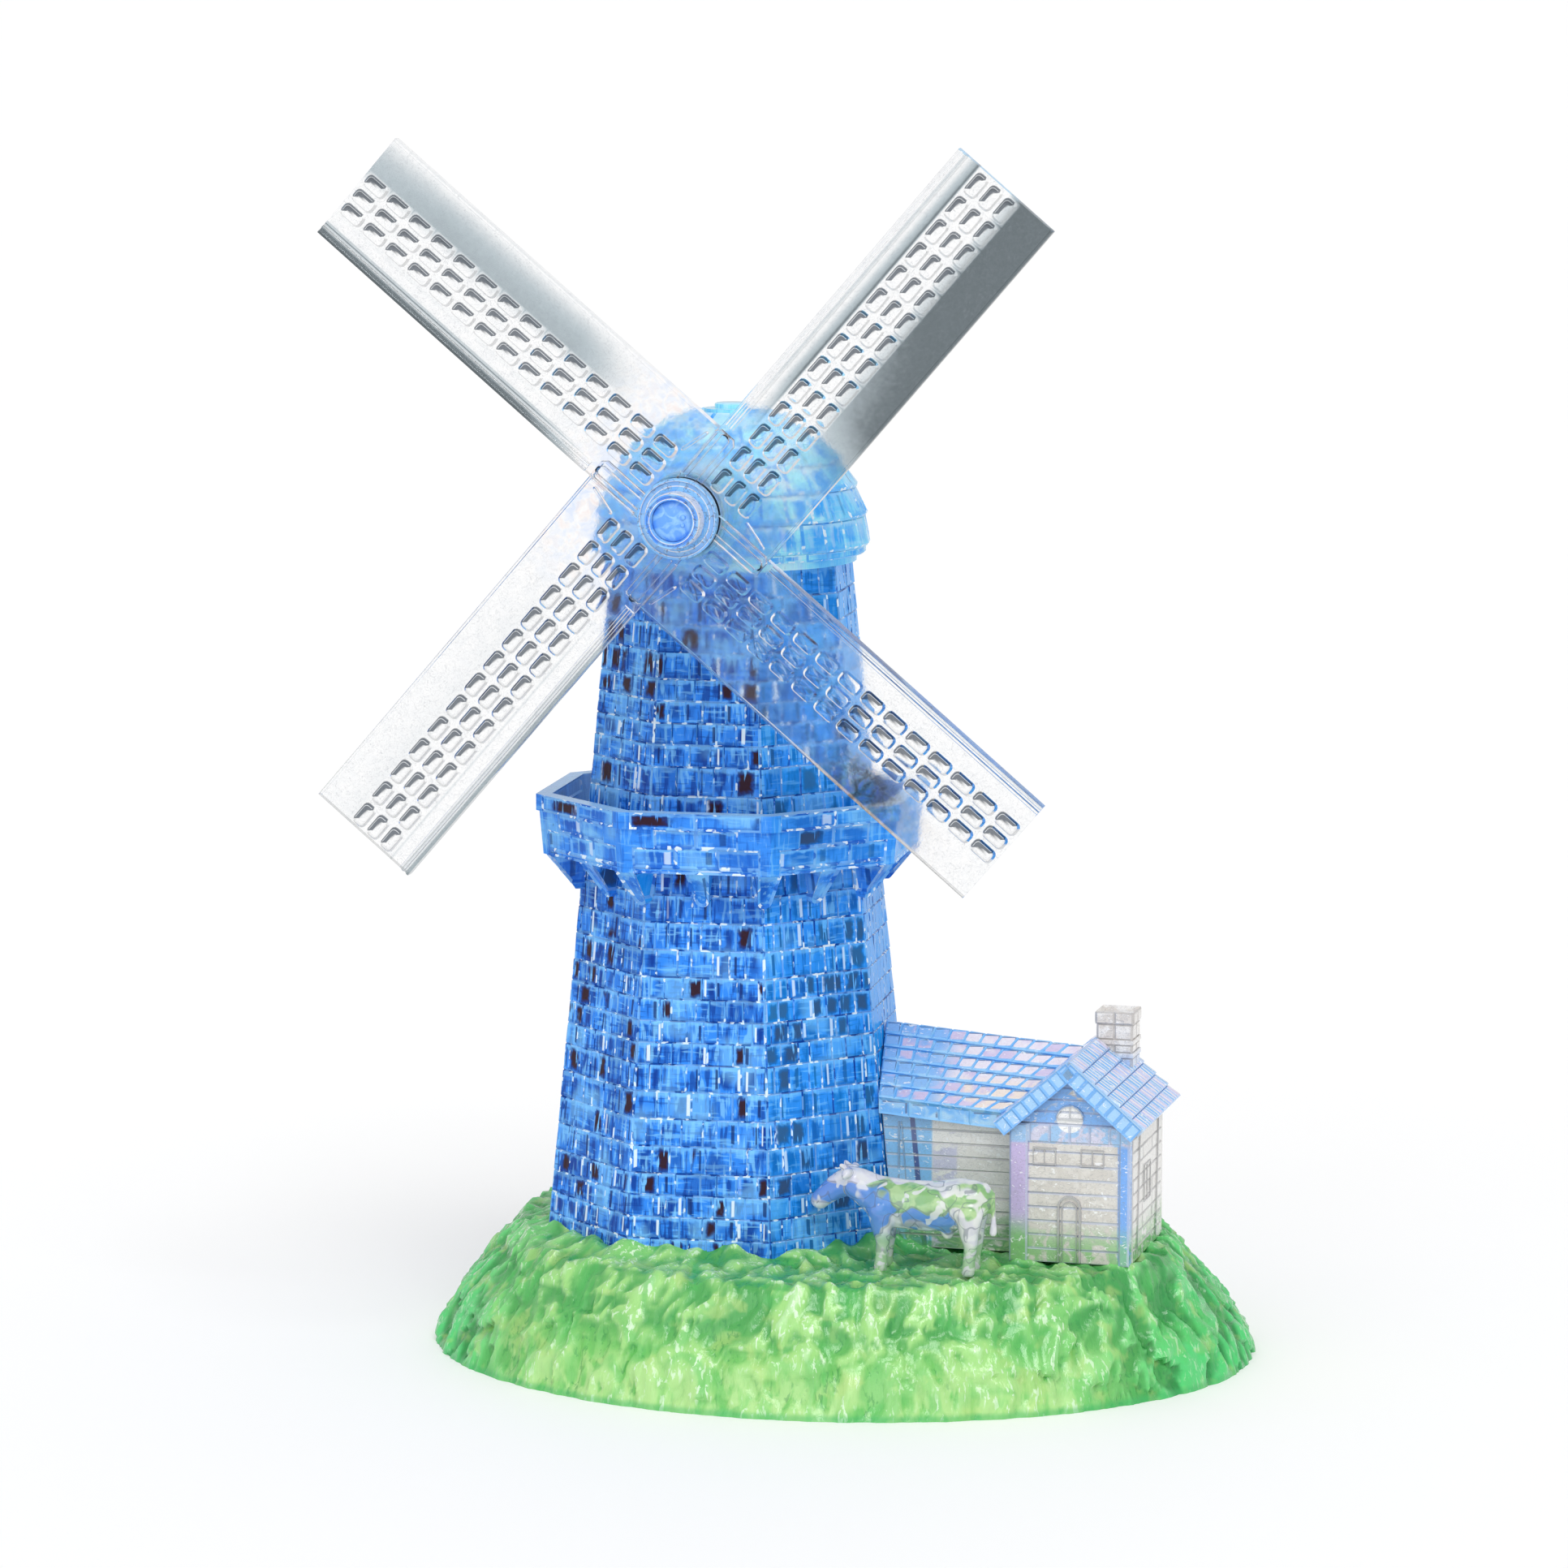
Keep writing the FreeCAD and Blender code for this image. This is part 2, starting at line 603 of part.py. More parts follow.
def tower_in_cottage_frame():
    """Return the lower tower, grown by a small gap, seen from the cottage frame."""
    tower = at_tower(tower_solid(GROUND - 1, GROUND + 60, 2 * FIT))
    moved = tower.translated(Vector(-MOUND_X - COTTAGE_FROM_MOUND[0], -COTTAGE_FROM_MOUND[1], -GROUND))
    return moved.rotated(Vector(0, 0, 0), UP, -COTTAGE_TURN)


def main_prism(outline):
    """Return a solid with a section in y and z, run along x with the roof's fall."""
    length = MAIN_REACH + wing_mid
    lift = MAIN_FALL * length
    points = [Vector(-MAIN_REACH, y, z + lift) for y, z in outline]
    return extruded(points, Vector(length, 0, -lift))


def main_roof(side):
    """Return one slope of the main roof: side is -1 for the front and 1 for the back."""
    eave_y = main_mid_y + side * main_half_d
    eave_z = MAIN_RIDGE_Z - MAIN_RISE
    slab = main_prism([(main_mid_y, MAIN_RIDGE_Z), (eave_y, eave_z), (eave_y, eave_z - ROOF_T),
                       (main_mid_y, MAIN_RIDGE_Z - ROOF_T)])
    slab = slab.cut(tower_in_cottage_frame())
    slab = slab.cut(under_wing_roof())
    return at_cottage(max(slab.Solids, key=lambda solid: solid.Volume))


def main_wall(y0, y1):
    """Return a long wall of the main block, between the tower and the wing."""
    wall = box(-MAIN_REACH, 0, y0, y1, 0, WING_RIDGE_Z)
    eave_z = MAIN_RIDGE_Z - MAIN_RISE - ROOF_T
    front = main_mid_y - main_half_d
    back = main_mid_y + main_half_d
    ridge = (main_mid_y, MAIN_RIDGE_Z - ROOF_T)
    room = main_prism([(front, -GROUND), (back, -GROUND), (back, eave_z), ridge, (front, eave_z)])
    wall = wall.common(room)
    wall = wall.cut(tower_in_cottage_frame())
    wall = wall.cut(wing_roof(-1))
    return at_cottage(max(wall.Solids, key=lambda solid: solid.Volume))


def chimney():
    """Return the stepped chimney that stands on the right slope of the wing roof."""
    x, y = CHIMNEY_AT
    half = CHIMNEY_W / 2
    cap = CHIMNEY_CAP_W / 2
    body = box(x - half, x + half, y - half, y + half, wing_roof_z(x + half), CHIMNEY_TOP)
    body = body.fuse(box(x - cap, x + cap, y - cap, y + cap, CHIMNEY_TOP - CHIMNEY_CAP_H, CHIMNEY_TOP))
    band = half + CHIMNEY_BAND_OUT
    for band_z in CHIMNEY_BANDS:
        body = body.fuse(box(x - band, x + band, y - band, y + band, band_z, band_z + CHIMNEY_BAND_H))
    return at_cottage(only_solid(body.cut(under_wing_roof())))


# ---------------------------------------------------------------- cow

def cow():
    """Return the standing cow as simple rounded solids."""
    middle_z = COW_BELLY_Z + COW_BODY_R
    shoulder = Vector(-COW_LEG_X, 0, middle_z)
    rump = Vector(COW_RUMP_X, 0, middle_z)
    body = Part.makeCylinder(COW_BODY_R, COW_RUMP_X + COW_LEG_X, shoulder, Vector(1, 0, 0))
    body = body.fuse(Part.makeSphere(COW_BODY_R, rump))
    body = body.fuse(Part.makeSphere(COW_BODY_R, shoulder))
    for x in (-COW_LEG_X, COW_LEG_X):
        for y in (-COW_LEG_Y, COW_LEG_Y):
            body = body.fuse(Part.makeCone(COW_HOOF_R, COW_THIGH_R, middle_z, Vector(x, y, 0), UP))
    neck = Vector(*COW_NECK)
    head = Vector(*COW_HEAD)
    poll = shoulder + neck
    body = body.fuse(Part.makeCone(COW_NECK_R[0], COW_NECK_R[1], neck.Length, shoulder, neck))
    body = body.fuse(Part.makeSphere(COW_HEAD_R[0], poll))
    body = body.fuse(Part.makeCone(COW_HEAD_R[0], COW_HEAD_R[1], head.Length, poll, head))
    body = body.fuse(Part.makeSphere(COW_HEAD_R[1], poll + head))
    turned = body.rotated(Vector(0, 0, 0), UP, COW_TURN)
    return only_solid(turned.translated(Vector(MOUND_X + COW_FROM_MOUND[0], COW_FROM_MOUND[1], GROUND)))


# ---------------------------------------------------------------- assembly

def build():
    """Return every node of the model by name."""
    nodes = {"base_mound": base_mound()}
    nodes.update(tower_pieces())
    nodes.update(gallery_pieces())
    nodes["cap_ring"] = cap_ring()
    nodes["dome_front"], nodes["dome_back"] = dome_halves()
    nodes["dome_top"] = dome_top()
    nodes["shaft_housing"] = shaft_housing()
    nodes["windshaft"] = windshaft()
    nodes["shaft_clip"] = shaft_clip()
    nodes["hub"] = hub()
    nodes["hub_cap"] = hub_cap()
    nodes["hub_collar"] = hub_collar()
    for number in range(SAIL_COUNT):
        nodes["sail_%d" % (number + 1)] = sail(number)
    nodes["wing_front"] = wing_front()
    nodes["wing_back"] = at_cottage(gable_plate(WING_D - WALL_T, WING_D))
    nodes["wing_left"] = wing_side(0, WALL_T)
    nodes["wing_right"] = wing_side(WING_W - WALL_T, WING_W)
    nodes["wing_roof_left"] = at_cottage(wing_roof(-1))
    nodes["wing_roof_right"] = at_cottage(wing_roof(1))
    nodes["main_front"] = main_wall(MAIN_FRONT_Y, MAIN_FRONT_Y + WALL_T)
    nodes["main_back"] = main_wall(main_back_y - WALL_T, main_back_y)
    nodes["main_roof_front"] = main_roof(-1)
    nodes["main_roof_back"] = main_roof(1)
    nodes["chimney"] = chimney()
    nodes["cow"] = cow()
    return nodes


def export(nodes):
    """Write one STEP file for each node."""
    os.makedirs("parts", exist_ok=True)
    for name, shape in nodes.items():
        if not shape.isValid():
            raise ValueError("invalid shape: " + name)
        shape.exportStep("parts/%s.step" % name)


model = build()
export(model)
whole = Part.makeCompound(list(model.values())).BoundBox
print("%d nodes, X %.2f..%.2f, Y %.2f..%.2f, Z %.2f..%.2f"
      % (len(model), whole.XMin, whole.XMax, whole.YMin, whole.YMax, whole.ZMin, whole.ZMax))
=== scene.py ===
import json
import math
import random

import bmesh
import bpy
from mathutils import Matrix, Vector, noise


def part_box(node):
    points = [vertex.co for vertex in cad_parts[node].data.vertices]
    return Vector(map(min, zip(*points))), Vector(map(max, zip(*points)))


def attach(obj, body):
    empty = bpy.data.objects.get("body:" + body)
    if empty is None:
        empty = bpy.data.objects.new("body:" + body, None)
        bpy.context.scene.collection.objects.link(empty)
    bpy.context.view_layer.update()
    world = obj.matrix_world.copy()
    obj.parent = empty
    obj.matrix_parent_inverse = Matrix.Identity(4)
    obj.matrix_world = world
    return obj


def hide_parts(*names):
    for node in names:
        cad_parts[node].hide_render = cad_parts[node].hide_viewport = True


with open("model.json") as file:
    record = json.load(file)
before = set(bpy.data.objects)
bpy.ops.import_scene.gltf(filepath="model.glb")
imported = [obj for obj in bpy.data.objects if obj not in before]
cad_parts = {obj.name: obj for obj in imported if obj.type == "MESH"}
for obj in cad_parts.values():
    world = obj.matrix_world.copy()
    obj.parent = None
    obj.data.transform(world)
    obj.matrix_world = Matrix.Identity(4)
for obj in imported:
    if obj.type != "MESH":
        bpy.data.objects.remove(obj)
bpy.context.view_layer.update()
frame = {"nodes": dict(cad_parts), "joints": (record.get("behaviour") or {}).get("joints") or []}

# Translucent puzzle windmill. Lengths are in metres, written as millimetres times MM, except on the sails,
# the cottage and the cow, which have their own places in millimetres. Colours are 0-255 screen values.
# A tile's finish is the width of its edge, its relief and its tilt, the first two in millimetres.
MM = 0.001
HALF_FACET = math.radians(22.5)
APOTHEM = math.cos(HALF_FACET)
FACET_SIDE = 2 * math.sin(HALF_FACET)
LETTERS = "abcd"

# Tower
WALL = 6.5 * MM
DECK_T = 2.0 * MM
LAYER_COURSES = [4, 4, 4, 4, 3, 4, 4]
LOWER_BRICKS = 7
UPPER_BRICKS = 5
BRICK_FINISH = (0.16, 0.2, 0.035)

# Camera
CAMERA_AZIMUTH = math.radians(10.93)
CAMERA_ELEVATION = math.radians(8.21)
CAMERA_DISTANCE = 901.9 * MM
CAMERA_LENS = 135.77
CAMERA_LEFT = 9.1 * MM
CAMERA_AIM_Z = 86.87 * MM


# ---------------------------------------------------------------- places from the frame

def span(*nodes):
    """Return the lowest and highest corners of several CAD nodes together."""
    boxes = [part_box(node) for node in nodes]
    low = Vector([min(b[0][i] for b in boxes) for i in range(3)])
    high = Vector([max(b[1][i] for b in boxes) for i in range(3)])
    return low, high


def layer_span(number):
    """Return the lowest and highest corners of one tower layer."""
    return span(*["tower_layer%d_%s" % (number, letter) for letter in LETTERS])


def node_radius(low, high):
    """Return the corner radius of an octagonal ring from its box."""
    return (high.y - low.y) / 2 / APOTHEM


mound_low, mound_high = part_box("base_mound")
ring_low, ring_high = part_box("cap_ring")
axis_x = (ring_low.x + ring_high.x) / 2
axis_y = (ring_low.y + ring_high.y) / 2
layer_bottoms = [layer_span(n)[0].z for n in range(1, 8)]
ground = layer_bottoms[0]
tower_top = ring_low.z
deck_top = layer_bottoms[4]
deck_bottom = deck_top - DECK_T
layer_tops = layer_bottoms[1:4] + [deck_bottom] + layer_bottoms[5:] + [tower_top]
radius_low = node_radius(*layer_span(1))
radius_slope = (node_radius(*layer_span(7)) - radius_low) / (layer_bottoms[6] - ground)


def tower_r(z):
    """Return the corner radius of the tower at a height."""
    return radius_low + radius_slope * (z - ground)


def on_octagon(p, radius, z):
    """Return a point on an octagon about the tower axis. p counts facets: whole numbers are facet middles."""
    facet = round(p)
    angle = math.radians(45 * facet)
    along = (p - facet) * FACET_SIDE * radius
    x = radius * APOTHEM * math.cos(angle) - along * math.sin(angle)
    y = radius * APOTHEM * math.sin(angle) + along * math.cos(angle)
    return Vector((axis_x + x, axis_y + y, z))


# ---------------------------------------------------------------- material nodes

def srgb(red, green, blue):
    """Return a linear colour from 0-255 screen values."""
    values = [c / 255 for c in (red, green, blue)]
    return tuple(c / 12.92 if c <= 0.04045 else ((c + 0.055) / 1.055) ** 2.4 for c in values)


class Shade:
    """Paints one plastic layer by layer with shader nodes. Its position is in millimetres."""

    def __init__(self, name):
        self.material = bpy.data.materials.new(name)
        self.material.use_nodes = True
        self.tree = self.material.node_tree
        self.tree.nodes.clear()
        coordinates = self.add("ShaderNodeTexCoord").outputs["Object"]
        self.position = self.vector("MULTIPLY", coordinates, (1 / MM, 1 / MM, 1 / MM))
        self.colour = (255, 255, 255)

    def feed(self, socket, value):
        """Link an output to a socket, or set a plain value or a screen colour on it."""
        if isinstance(value, bpy.types.NodeSocket):
            self.tree.links.new(value, socket)
        elif socket.type == "RGBA":
            socket.default_value = (*srgb(*value), 1.0)
        else:
            socket.default_value = value

    def add(self, kind, *inputs, **settings):
        """Return a new node with some of its properties set and its first sockets fed."""
        node = self.tree.nodes.new(kind)
        for name, value in settings.items():
            setattr(node, name, value)
        for socket, value in zip(node.inputs, inputs):
            self.feed(socket, value)
        return node

    def vector(self, operation, a, b):
        """Return a vector calculation."""
        return self.add("ShaderNodeVectorMath", a, b, operation=operation).outputs[0]

    def dot(self, a, b):
        """Return the dot product of two vectors."""
        return self.add("ShaderNodeVectorMath", a, b, operation="DOT_PRODUCT").outputs[1]

    def math(self, operation, *values):
        """Return a number calculation."""
        return self.add("ShaderNodeMath", *values, operation=operation).outputs[0]

    def line(self, value, slope, start):
        """Return slope times a value, plus start."""
        return self.math("MULTIPLY_ADD", value, slope, start)

    def times(self, *values):
        """Return the product of some numbers."""
        product = values[0]
        for value in values[1:]:
            product = self.math("MULTIPLY", product, value)
        return product

    def split(self, value):
        """Return the x, y and z of a vector."""
        return tuple(self.add("ShaderNodeSeparateXYZ", value).outputs)

    def step(self, value, low, high):
        """Return 0 below low and 1 above high, with a smooth rise between them."""
        return self.add("ShaderNodeMapRange", value, low, high, interpolation_type="SMOOTHSTEP").outputs[0]

    def band(self, value, low, high, soft):
        """Return 1 between low and high and 0 outside, with soft edges."""
        return self.times(self.step(value, low - soft, low), self.step(value, high + soft, high))

    def near(self, value, place, outer, inner):
        """Return 1 where a value is within inner of a place, and 0 where it is farther off than outer."""
        return self.step(self.math("ABSOLUTE", self.math("SUBTRACT", value, place)), outer, inner)

    def grain(self, scale, detail=2.0, distortion=0.0):
        """Return smooth noise around one half. scale is one number, or one for each direction."""
        stretched = isinstance(scale, tuple)
        place = self.vector("MULTIPLY", self.position, scale) if stretched else self.position
        node = self.add("ShaderNodeTexNoise", place)
        node.inputs["Scale"].default_value = 1.0 if stretched else scale
        node.inputs["Detail"].default_value = detail
        node.inputs["Distortion"].default_value = distortion
        return node.outputs["Fac"]

    def attribute(self, name):
        """Return a number stored on the mesh."""
        return self.add("ShaderNodeAttribute", attribute_name=name).outputs["Fac"]

    def toned(self, scale, detail, distortion, share):
        """Return noise, and the same noise mixed with a share of the tile's own tone."""
        patch = self.grain(scale, detail, distortion)
        tone = self.attribute("tone")
        return patch, self.math("ADD", self.times(patch, 1 - share), self.times(tone, share))

    def mix(self, share, a, b):
        """Return colour a, with a share of colour b."""
        node = self.add("ShaderNodeMix", share, data_type="RGBA")
        self.feed(node.inputs[6], a)
        self.feed(node.inputs[7], b)
        return node.outputs[2]

    def ramp(self, value, low, high, a, b):
        """Return a colour that goes from a, where a value is low, to b, where it is high."""
        return self.mix(self.step(value, low, high), a, b)

    def over(self, colour, *shares):
        """Lay a colour over what is painted so far, by the product of some shares."""
        self.colour = self.mix(self.times(*shares), self.colour, colour)

    def plastic(self, ripple, roughness, bump, clear, coat=0.3, ior=1.49):
        """Finish the material as glossy moulded plastic and return it.

        roughness is the slope and start of the roughness over the ripple. bump is the ripple's strength and
        its height in millimetres.
        """
        normal = self.add("ShaderNodeBump")
        normal.inputs["Strength"].default_value = bump[0]
        normal.inputs["Distance"].default_value = bump[1] * MM
        self.feed(normal.inputs["Height"], ripple)
        shader = self.add("ShaderNodeBsdfPrincipled")
        self.feed(shader.inputs["Base Color"], self.colour)
        self.feed(shader.inputs["Roughness"], self.line(ripple, *roughness))
        self.feed(shader.inputs["Normal"], normal.outputs[0])
        shader.inputs["Transmission Weight"].default_value = clear
        shader.inputs["IOR"].default_value = ior
        shader.inputs["Coat Weight"].default_value = coat
        shader.inputs["Coat Roughness"].default_value = 0.04
        self.add("ShaderNodeOutputMaterial", shader.outputs[0])
        return self.material


# ---------------------------------------------------------------- blue and green materials

def tile_bars(shade, tile, dark, light, busy):
    """Paint the light that a tile's inner faces refract: a painted shaded middle, painted dark and light bars
    and lines, a painted highlight along the tile's head and painted shade along its foot.
    """
    # Painted shade: the soft dark middle of the tile.
    shade.over(dark, shade.near(tile["u"], tile["middle"], 0.46, 0.14), shade.near(tile["v"], 0.5, 0.48, 0.2),
               shade.step(tile["second"], 0.25, 0.8), 0.85)
    # Painted refraction: dark and light bars and lines.
    lines = shade.grain((0.22, 0.22, 1.7))
    for grain, low, high, colour, share in (
            (tile["bars"], 0.54, 0.64, dark, 0.75), (tile["bars"], 0.45, 0.36, light, 0.6),
            (lines, 0.57, 0.66, dark, 0.5), (lines, 0.42, 0.34, light, 0.45)):
        shade.over(colour, shade.step(grain, low, high), share * busy)
    # Painted highlight along the tile's head, painted shade along its foot.
    shade.over(light, shade.step(tile["v"], 0.78, 0.94), 0.5)
    shade.over(dark, shade.step(tile["v"], 0.2, 0.05), shade.step(tile["first"], 0.3, 0.6), 0.6)
    patch = shade.grain(0.13, 1.0)
    shade.over(light, shade.step(patch, 0.54, 0.66), 0.4)
    shade.over(dark, shade.step(patch, 0.46, 0.36), 0.4)


def tile_painted_bars_and_patches(shade, tile, brown_share, busy):
    """Paint a navy bar of painted shade or a white bar of painted glint on some tiles, and a dark brown patch
    with a navy edge on others.
    """
    bar = shade.times(shade.near(tile["across"], tile["third"], 0.11, 0.06),
                      shade.near(tile["v"], 0.5, 0.44, 0.36))
    navy = shade.times(shade.step(tile["second"], 0.52, 0.48), shade.step(tile["first"], 0.6, 0.56))
    # Painted shade: a navy bar refracted in the tile.
    shade.over((22, 44, 104), bar, navy, 0.85 * busy)
    # Painted glint: a white bar.
    shade.over((226, 242, 255), bar, shade.step(tile["second"], 0.76, 0.8), 0.85 * busy)
    # A dark brown patch with a navy edge, on a share of the tiles.
    level = shade.line(shade.grain(0.06, 1.0), 0.5, tile["tone"])
    brown_patch = shade.times(shade.step(level, 1.24 - brown_share, 1.26 - brown_share),
                          shade.step(tile["bars"], 0.36, 0.42))
    for colour, share, wide, wide_core, high, high_core in (
            ((28, 48, 118), 0.85, 0.5, 0.3, 0.5, 0.36), ((52, 28, 32), 0.95, 0.38, 0.2, 0.4, 0.24)):
        shade.over(colour, brown_patch, shade.near(tile["u"], tile["middle"], wide, wide_core),
                   shade.near(tile["v"], 0.5, high, high_core), share)


def tile_sides(shade, busy, front):
    """Paint light onto the faces: painted light on the inward faces, which lie in shade, and on the upward
    faces, a painted light blue on the cap's front, where the sails shade it, and painted sky blue light on
    the faces that look to the right.

    Returns how far a face looks to the right.
    """
    normal = shade.add("ShaderNodeNewGeometry").outputs["True Normal"]
    from_axis = shade.vector("SUBTRACT", shade.position, (axis_x / MM, axis_y / MM, 0.0))
    away = shade.vector("MULTIPLY", from_axis, (1.0, 1.0, 0.0))
    inward = shade.step(shade.dot(normal, away), -2.0, -8.0)
    right, _, up = shade.split(normal)
    # Painted light on the inward faces, which lie in shade, and on the upward faces.
    shade.over((186, 228, 255), shade.math("MAXIMUM", inward, shade.step(up, 0.8, 0.95)), 0.72)
    # Painted light blue on the cap's front, where the sails shade it.
    left_half = shade.step(shade.split(away)[0], 7.0, -1.0)
    shade.over((104, 178, 255), left_half, shade.step(shade.split(shade.position)[2], 141.0, 135.0), front)
    # Painted sky blue light on the faces that look to the right.
    facing = shade.step(right, 0.6, 0.9)
    shade.over((10, 166, 255), facing, shade.math("SUBTRACT", 1.0, inward), 0.95 * busy)
    return facing


def crystal_blue(name, base, dark, light, brown_share, busy, front):
    """Return blue moulded crystal plastic, with painted refraction, painted shade and painted highlights in
    each tile.

    Its fifth argument, the share of brown patches, raises the number of tiles with a dark brown patch; busy
    sets the strength of the painted pattern, and front the painted light blue on the cap's front, where the
    sails shade it.
    """
    shade = Shade(name)
    tone = shade.attribute("tone")
    across = shade.attribute("tile_u")
    bend = shade.math("SUBTRACT", shade.grain(0.8), 0.5)
    first, second, third = [shade.math("FRACT", shade.times(tone, factor)) for factor in (7.1, 17.7, 31.3)]
    tile = {
        "tone": tone, "first": first, "second": second, "third": third, "across": across,
        "u": shade.line(bend, 0.5, across),
        "v": shade.line(bend, 0.4, shade.attribute("tile_v")),
        "middle": shade.line(first, 0.5, 0.25),
        "bars": shade.grain((1.5, 1.5, 0.16)),
    }
    shade.colour = base
    tile_bars(shade, tile, dark, light, busy)
    tile_painted_bars_and_patches(shade, tile, brown_share, busy)
    facing = tile_sides(shade, busy, front)
    # Painted light on the joints: light blue where lit, dark where unlit, with painted white glints along
    # them.
    groove = shade.attribute("groove")
    lit = shade.math("MAXIMUM", shade.step(shade.grain(0.45, 1.0), 0.42, 0.5), facing)
    shade.over((150, 210, 255), groove, lit, 0.25 + 0.25 * busy)
    shade.over(dark, groove, shade.step(lit, 0.5, 0.1), 0.45)
    shade.over((232, 246, 255), groove, shade.step(shade.grain(0.85, 1.0), 0.58, 0.64), 0.9)
    ripple = shade.grain((1.6, 1.6, 0.8), 3.0, 0.6)
    return shade.plastic(ripple, (0.12, 0.04), (0.3, 0.3), 0.05, 0.0, 1.16)


def grass_green():
    """Return green moulded plastic, yellower in front, with painted shade in the hollows and painted
    highlights on the crests.
    """
    shade = Shade("grass_green")
    x, y, z = shade.split(shade.position)
    relief = shade.attribute("relief")
    off_middle = shade.math("ABSOLUTE", shade.math("SUBTRACT", x, (mound_low.x + mound_high.x) / 2 / MM))
    sides = shade.step(off_middle, 34.0, 58.0)
    calm = shade.line(sides, -0.6, 1.0)
    far = shade.math("MAXIMUM", sides, shade.times(shade.step(y, -34.0, -8.0), 0.75))
    pale = shade.mix(far, (164, 224, 132), (78, 212, 118))
    deep = shade.mix(far, (112, 198, 96), (12, 140, 62))
    # Painted shade in the hollows and painted light on the crests.
    shade.colour = shade.ramp(relief, 0.28, 0.62, deep, pale)
    # Painted highlight on the highest crests, weaker on the sides.
    shade.over((206, 244, 196), shade.step(relief, 0.74, 0.92), calm, 0.45)
    # Painted shade in the hollows of the upper part.
    shade.over((50, 154, 76), shade.step(z, 7.0, 13.0), shade.step(relief, 0.7, 0.35), 0.7)
    streak = shade.grain((0.5, 0.5, 0.1), 3.0, 0.3)
    lower = shade.times(shade.step(z, 9.0, 4.0), shade.step(far, 0.8, 0.3))
    shade.over((186, 230, 150), lower, shade.step(streak, 0.4, 0.56), 0.7)
    shade.over((126, 204, 112), lower, shade.step(streak, 0.46, 0.36), 0.4)
    shade.over((84, 192, 94), shade.step(shade.grain(0.11, 2.0, 0.7), 0.5, 0.62), 0.5)
    shade.over((192, 222, 132), shade.step(shade.grain(0.24, 2.0, 0.4), 0.54, 0.7), 0.4)
    thread = shade.grain((1.5, 1.5, 0.4), 3.0, 0.5)
    # Painted white gleams on the crests and painted shade in the hollows, along fine threads.
    shade.over((224, 250, 218), shade.step(thread, 0.56, 0.63), shade.step(relief, 0.4, 0.75), calm, 0.85)
    shade.over((30, 138, 66), shade.step(thread, 0.45, 0.36), shade.step(relief, 0.5, 0.2), 0.5)
    shade.over((52, 180, 96), shade.step(z, 1.3, 0.4), 0.6)
    return shade.plastic(thread, (0.2, 0.08), (0.45, 0.4), 0.12)


# ---------------------------------------------------------------- clear materials

def sail_clear():
    """Return the clear plastic of the sails: painted grey reflections on the strips and the lead rib, painted
    shade and a painted highlight on the pad rims, and warm tints by the hub.
    """
    shade = Shade("sail_clear")
    along = shade.attribute("along")
    rim = shade.attribute("rim")
    wave = shade.grain((0.5, 0.5, 0.5), 2.0, 0.8)
    shade.colour = shade.ramp(wave, 0.4, 0.62, (250, 251, 252), (255, 255, 255))
    root = shade.step(along, 24.0, 6.0)
    shade.over((244, 226, 222), root, shade.step(wave, 0.52, 0.62), 0.6)
    shade.over((204, 222, 255), root, shade.step(wave, 0.52, 0.4), 0.6)
    veins = shade.grain(0.42, 3.0, 2.2)
    stone = shade.ramp(veins, 0.42, 0.5, (150, 128, 108), (226, 206, 182))
    stone = shade.ramp(veins, 0.54, 0.6, stone, (208, 200, 228))
    shade.over(stone, shade.attribute("marble"))
    # Painted grey reflections, deepest where their share is high.
    grey_share = shade.times(shade.attribute("reflection_grey"), shade.line(shade.grain(0.9, 3.0, 0.6), 0.3, 0.85))
    shade.over((184, 196, 202), shade.step(grey_share, 0.0, 0.5))
    shade.over((104, 114, 119), shade.step(grey_share, 0.4, 0.95))
    threads = shade.band(shade.grain((0.9, 0.9, 0.9), 2.0, 1.6), 0.49, 0.51, 0.01)
    shade.over((150, 155, 165), threads, shade.step(along, 10.0, 22.0), 0.35)
    # Painted shade on the pad rims and a thin painted highlight along their ridge.
    shade.over((56, 62, 70), shade.step(rim, 0.2, 0.6))
    shade.over((225, 230, 235), shade.step(rim, 1.1, 1.18), 0.8)
    return shade.plastic(shade.grain(1.3, 2.0, 0.4), (0.08, 0.07), (0.06, 0.2), 1.0, 0.0, 1.36)


def hub_clear():
    """Return the clear plastic of the hub: the blue behind it as painted refraction, with white rings and a
    few dark threads.
    """
    shade = Shade("hub_clear")
    away = shade.vector("SUBTRACT", shade.position, tuple(hub_point / MM))
    flat = shade.vector("MULTIPLY", away, (1.0, 0.0, 1.0))
    radius = shade.math("SQRT", shade.dot(flat, flat))
    swirl = shade.grain(0.6, 3.0, 1.2)
    # Painted refraction: the blue of the cap behind the hub.
    shade.colour = shade.ramp(swirl, 0.4, 0.6, (100, 168, 255), (146, 202, 255))
    shade.over((140, 204, 255), shade.step(radius, 4.0, 4.4), 0.6)
    rings = shade.band(shade.math("FRACT", shade.times(radius, 1.35)), 0.42, 0.5, 0.08)
    shade.over((255, 252, 252), rings, shade.step(radius, 2.9, 3.1), 0.95)
    shade.over((96, 110, 140), shade.band(swirl, 0.5, 0.52, 0.01), shade.step(radius, 3.0, 3.4), 0.7)
    rear = shade.step(shade.split(away)[1], -2.4, -1.6)
    shade.over((236, 226, 228), rear, shade.step(radius, 4.2, 4.8), 0.15)
    return shade.plastic(shade.grain(1.6, 2.0, 0.3), (0.08, 0.03), (0.15, 0.2), 0.15)


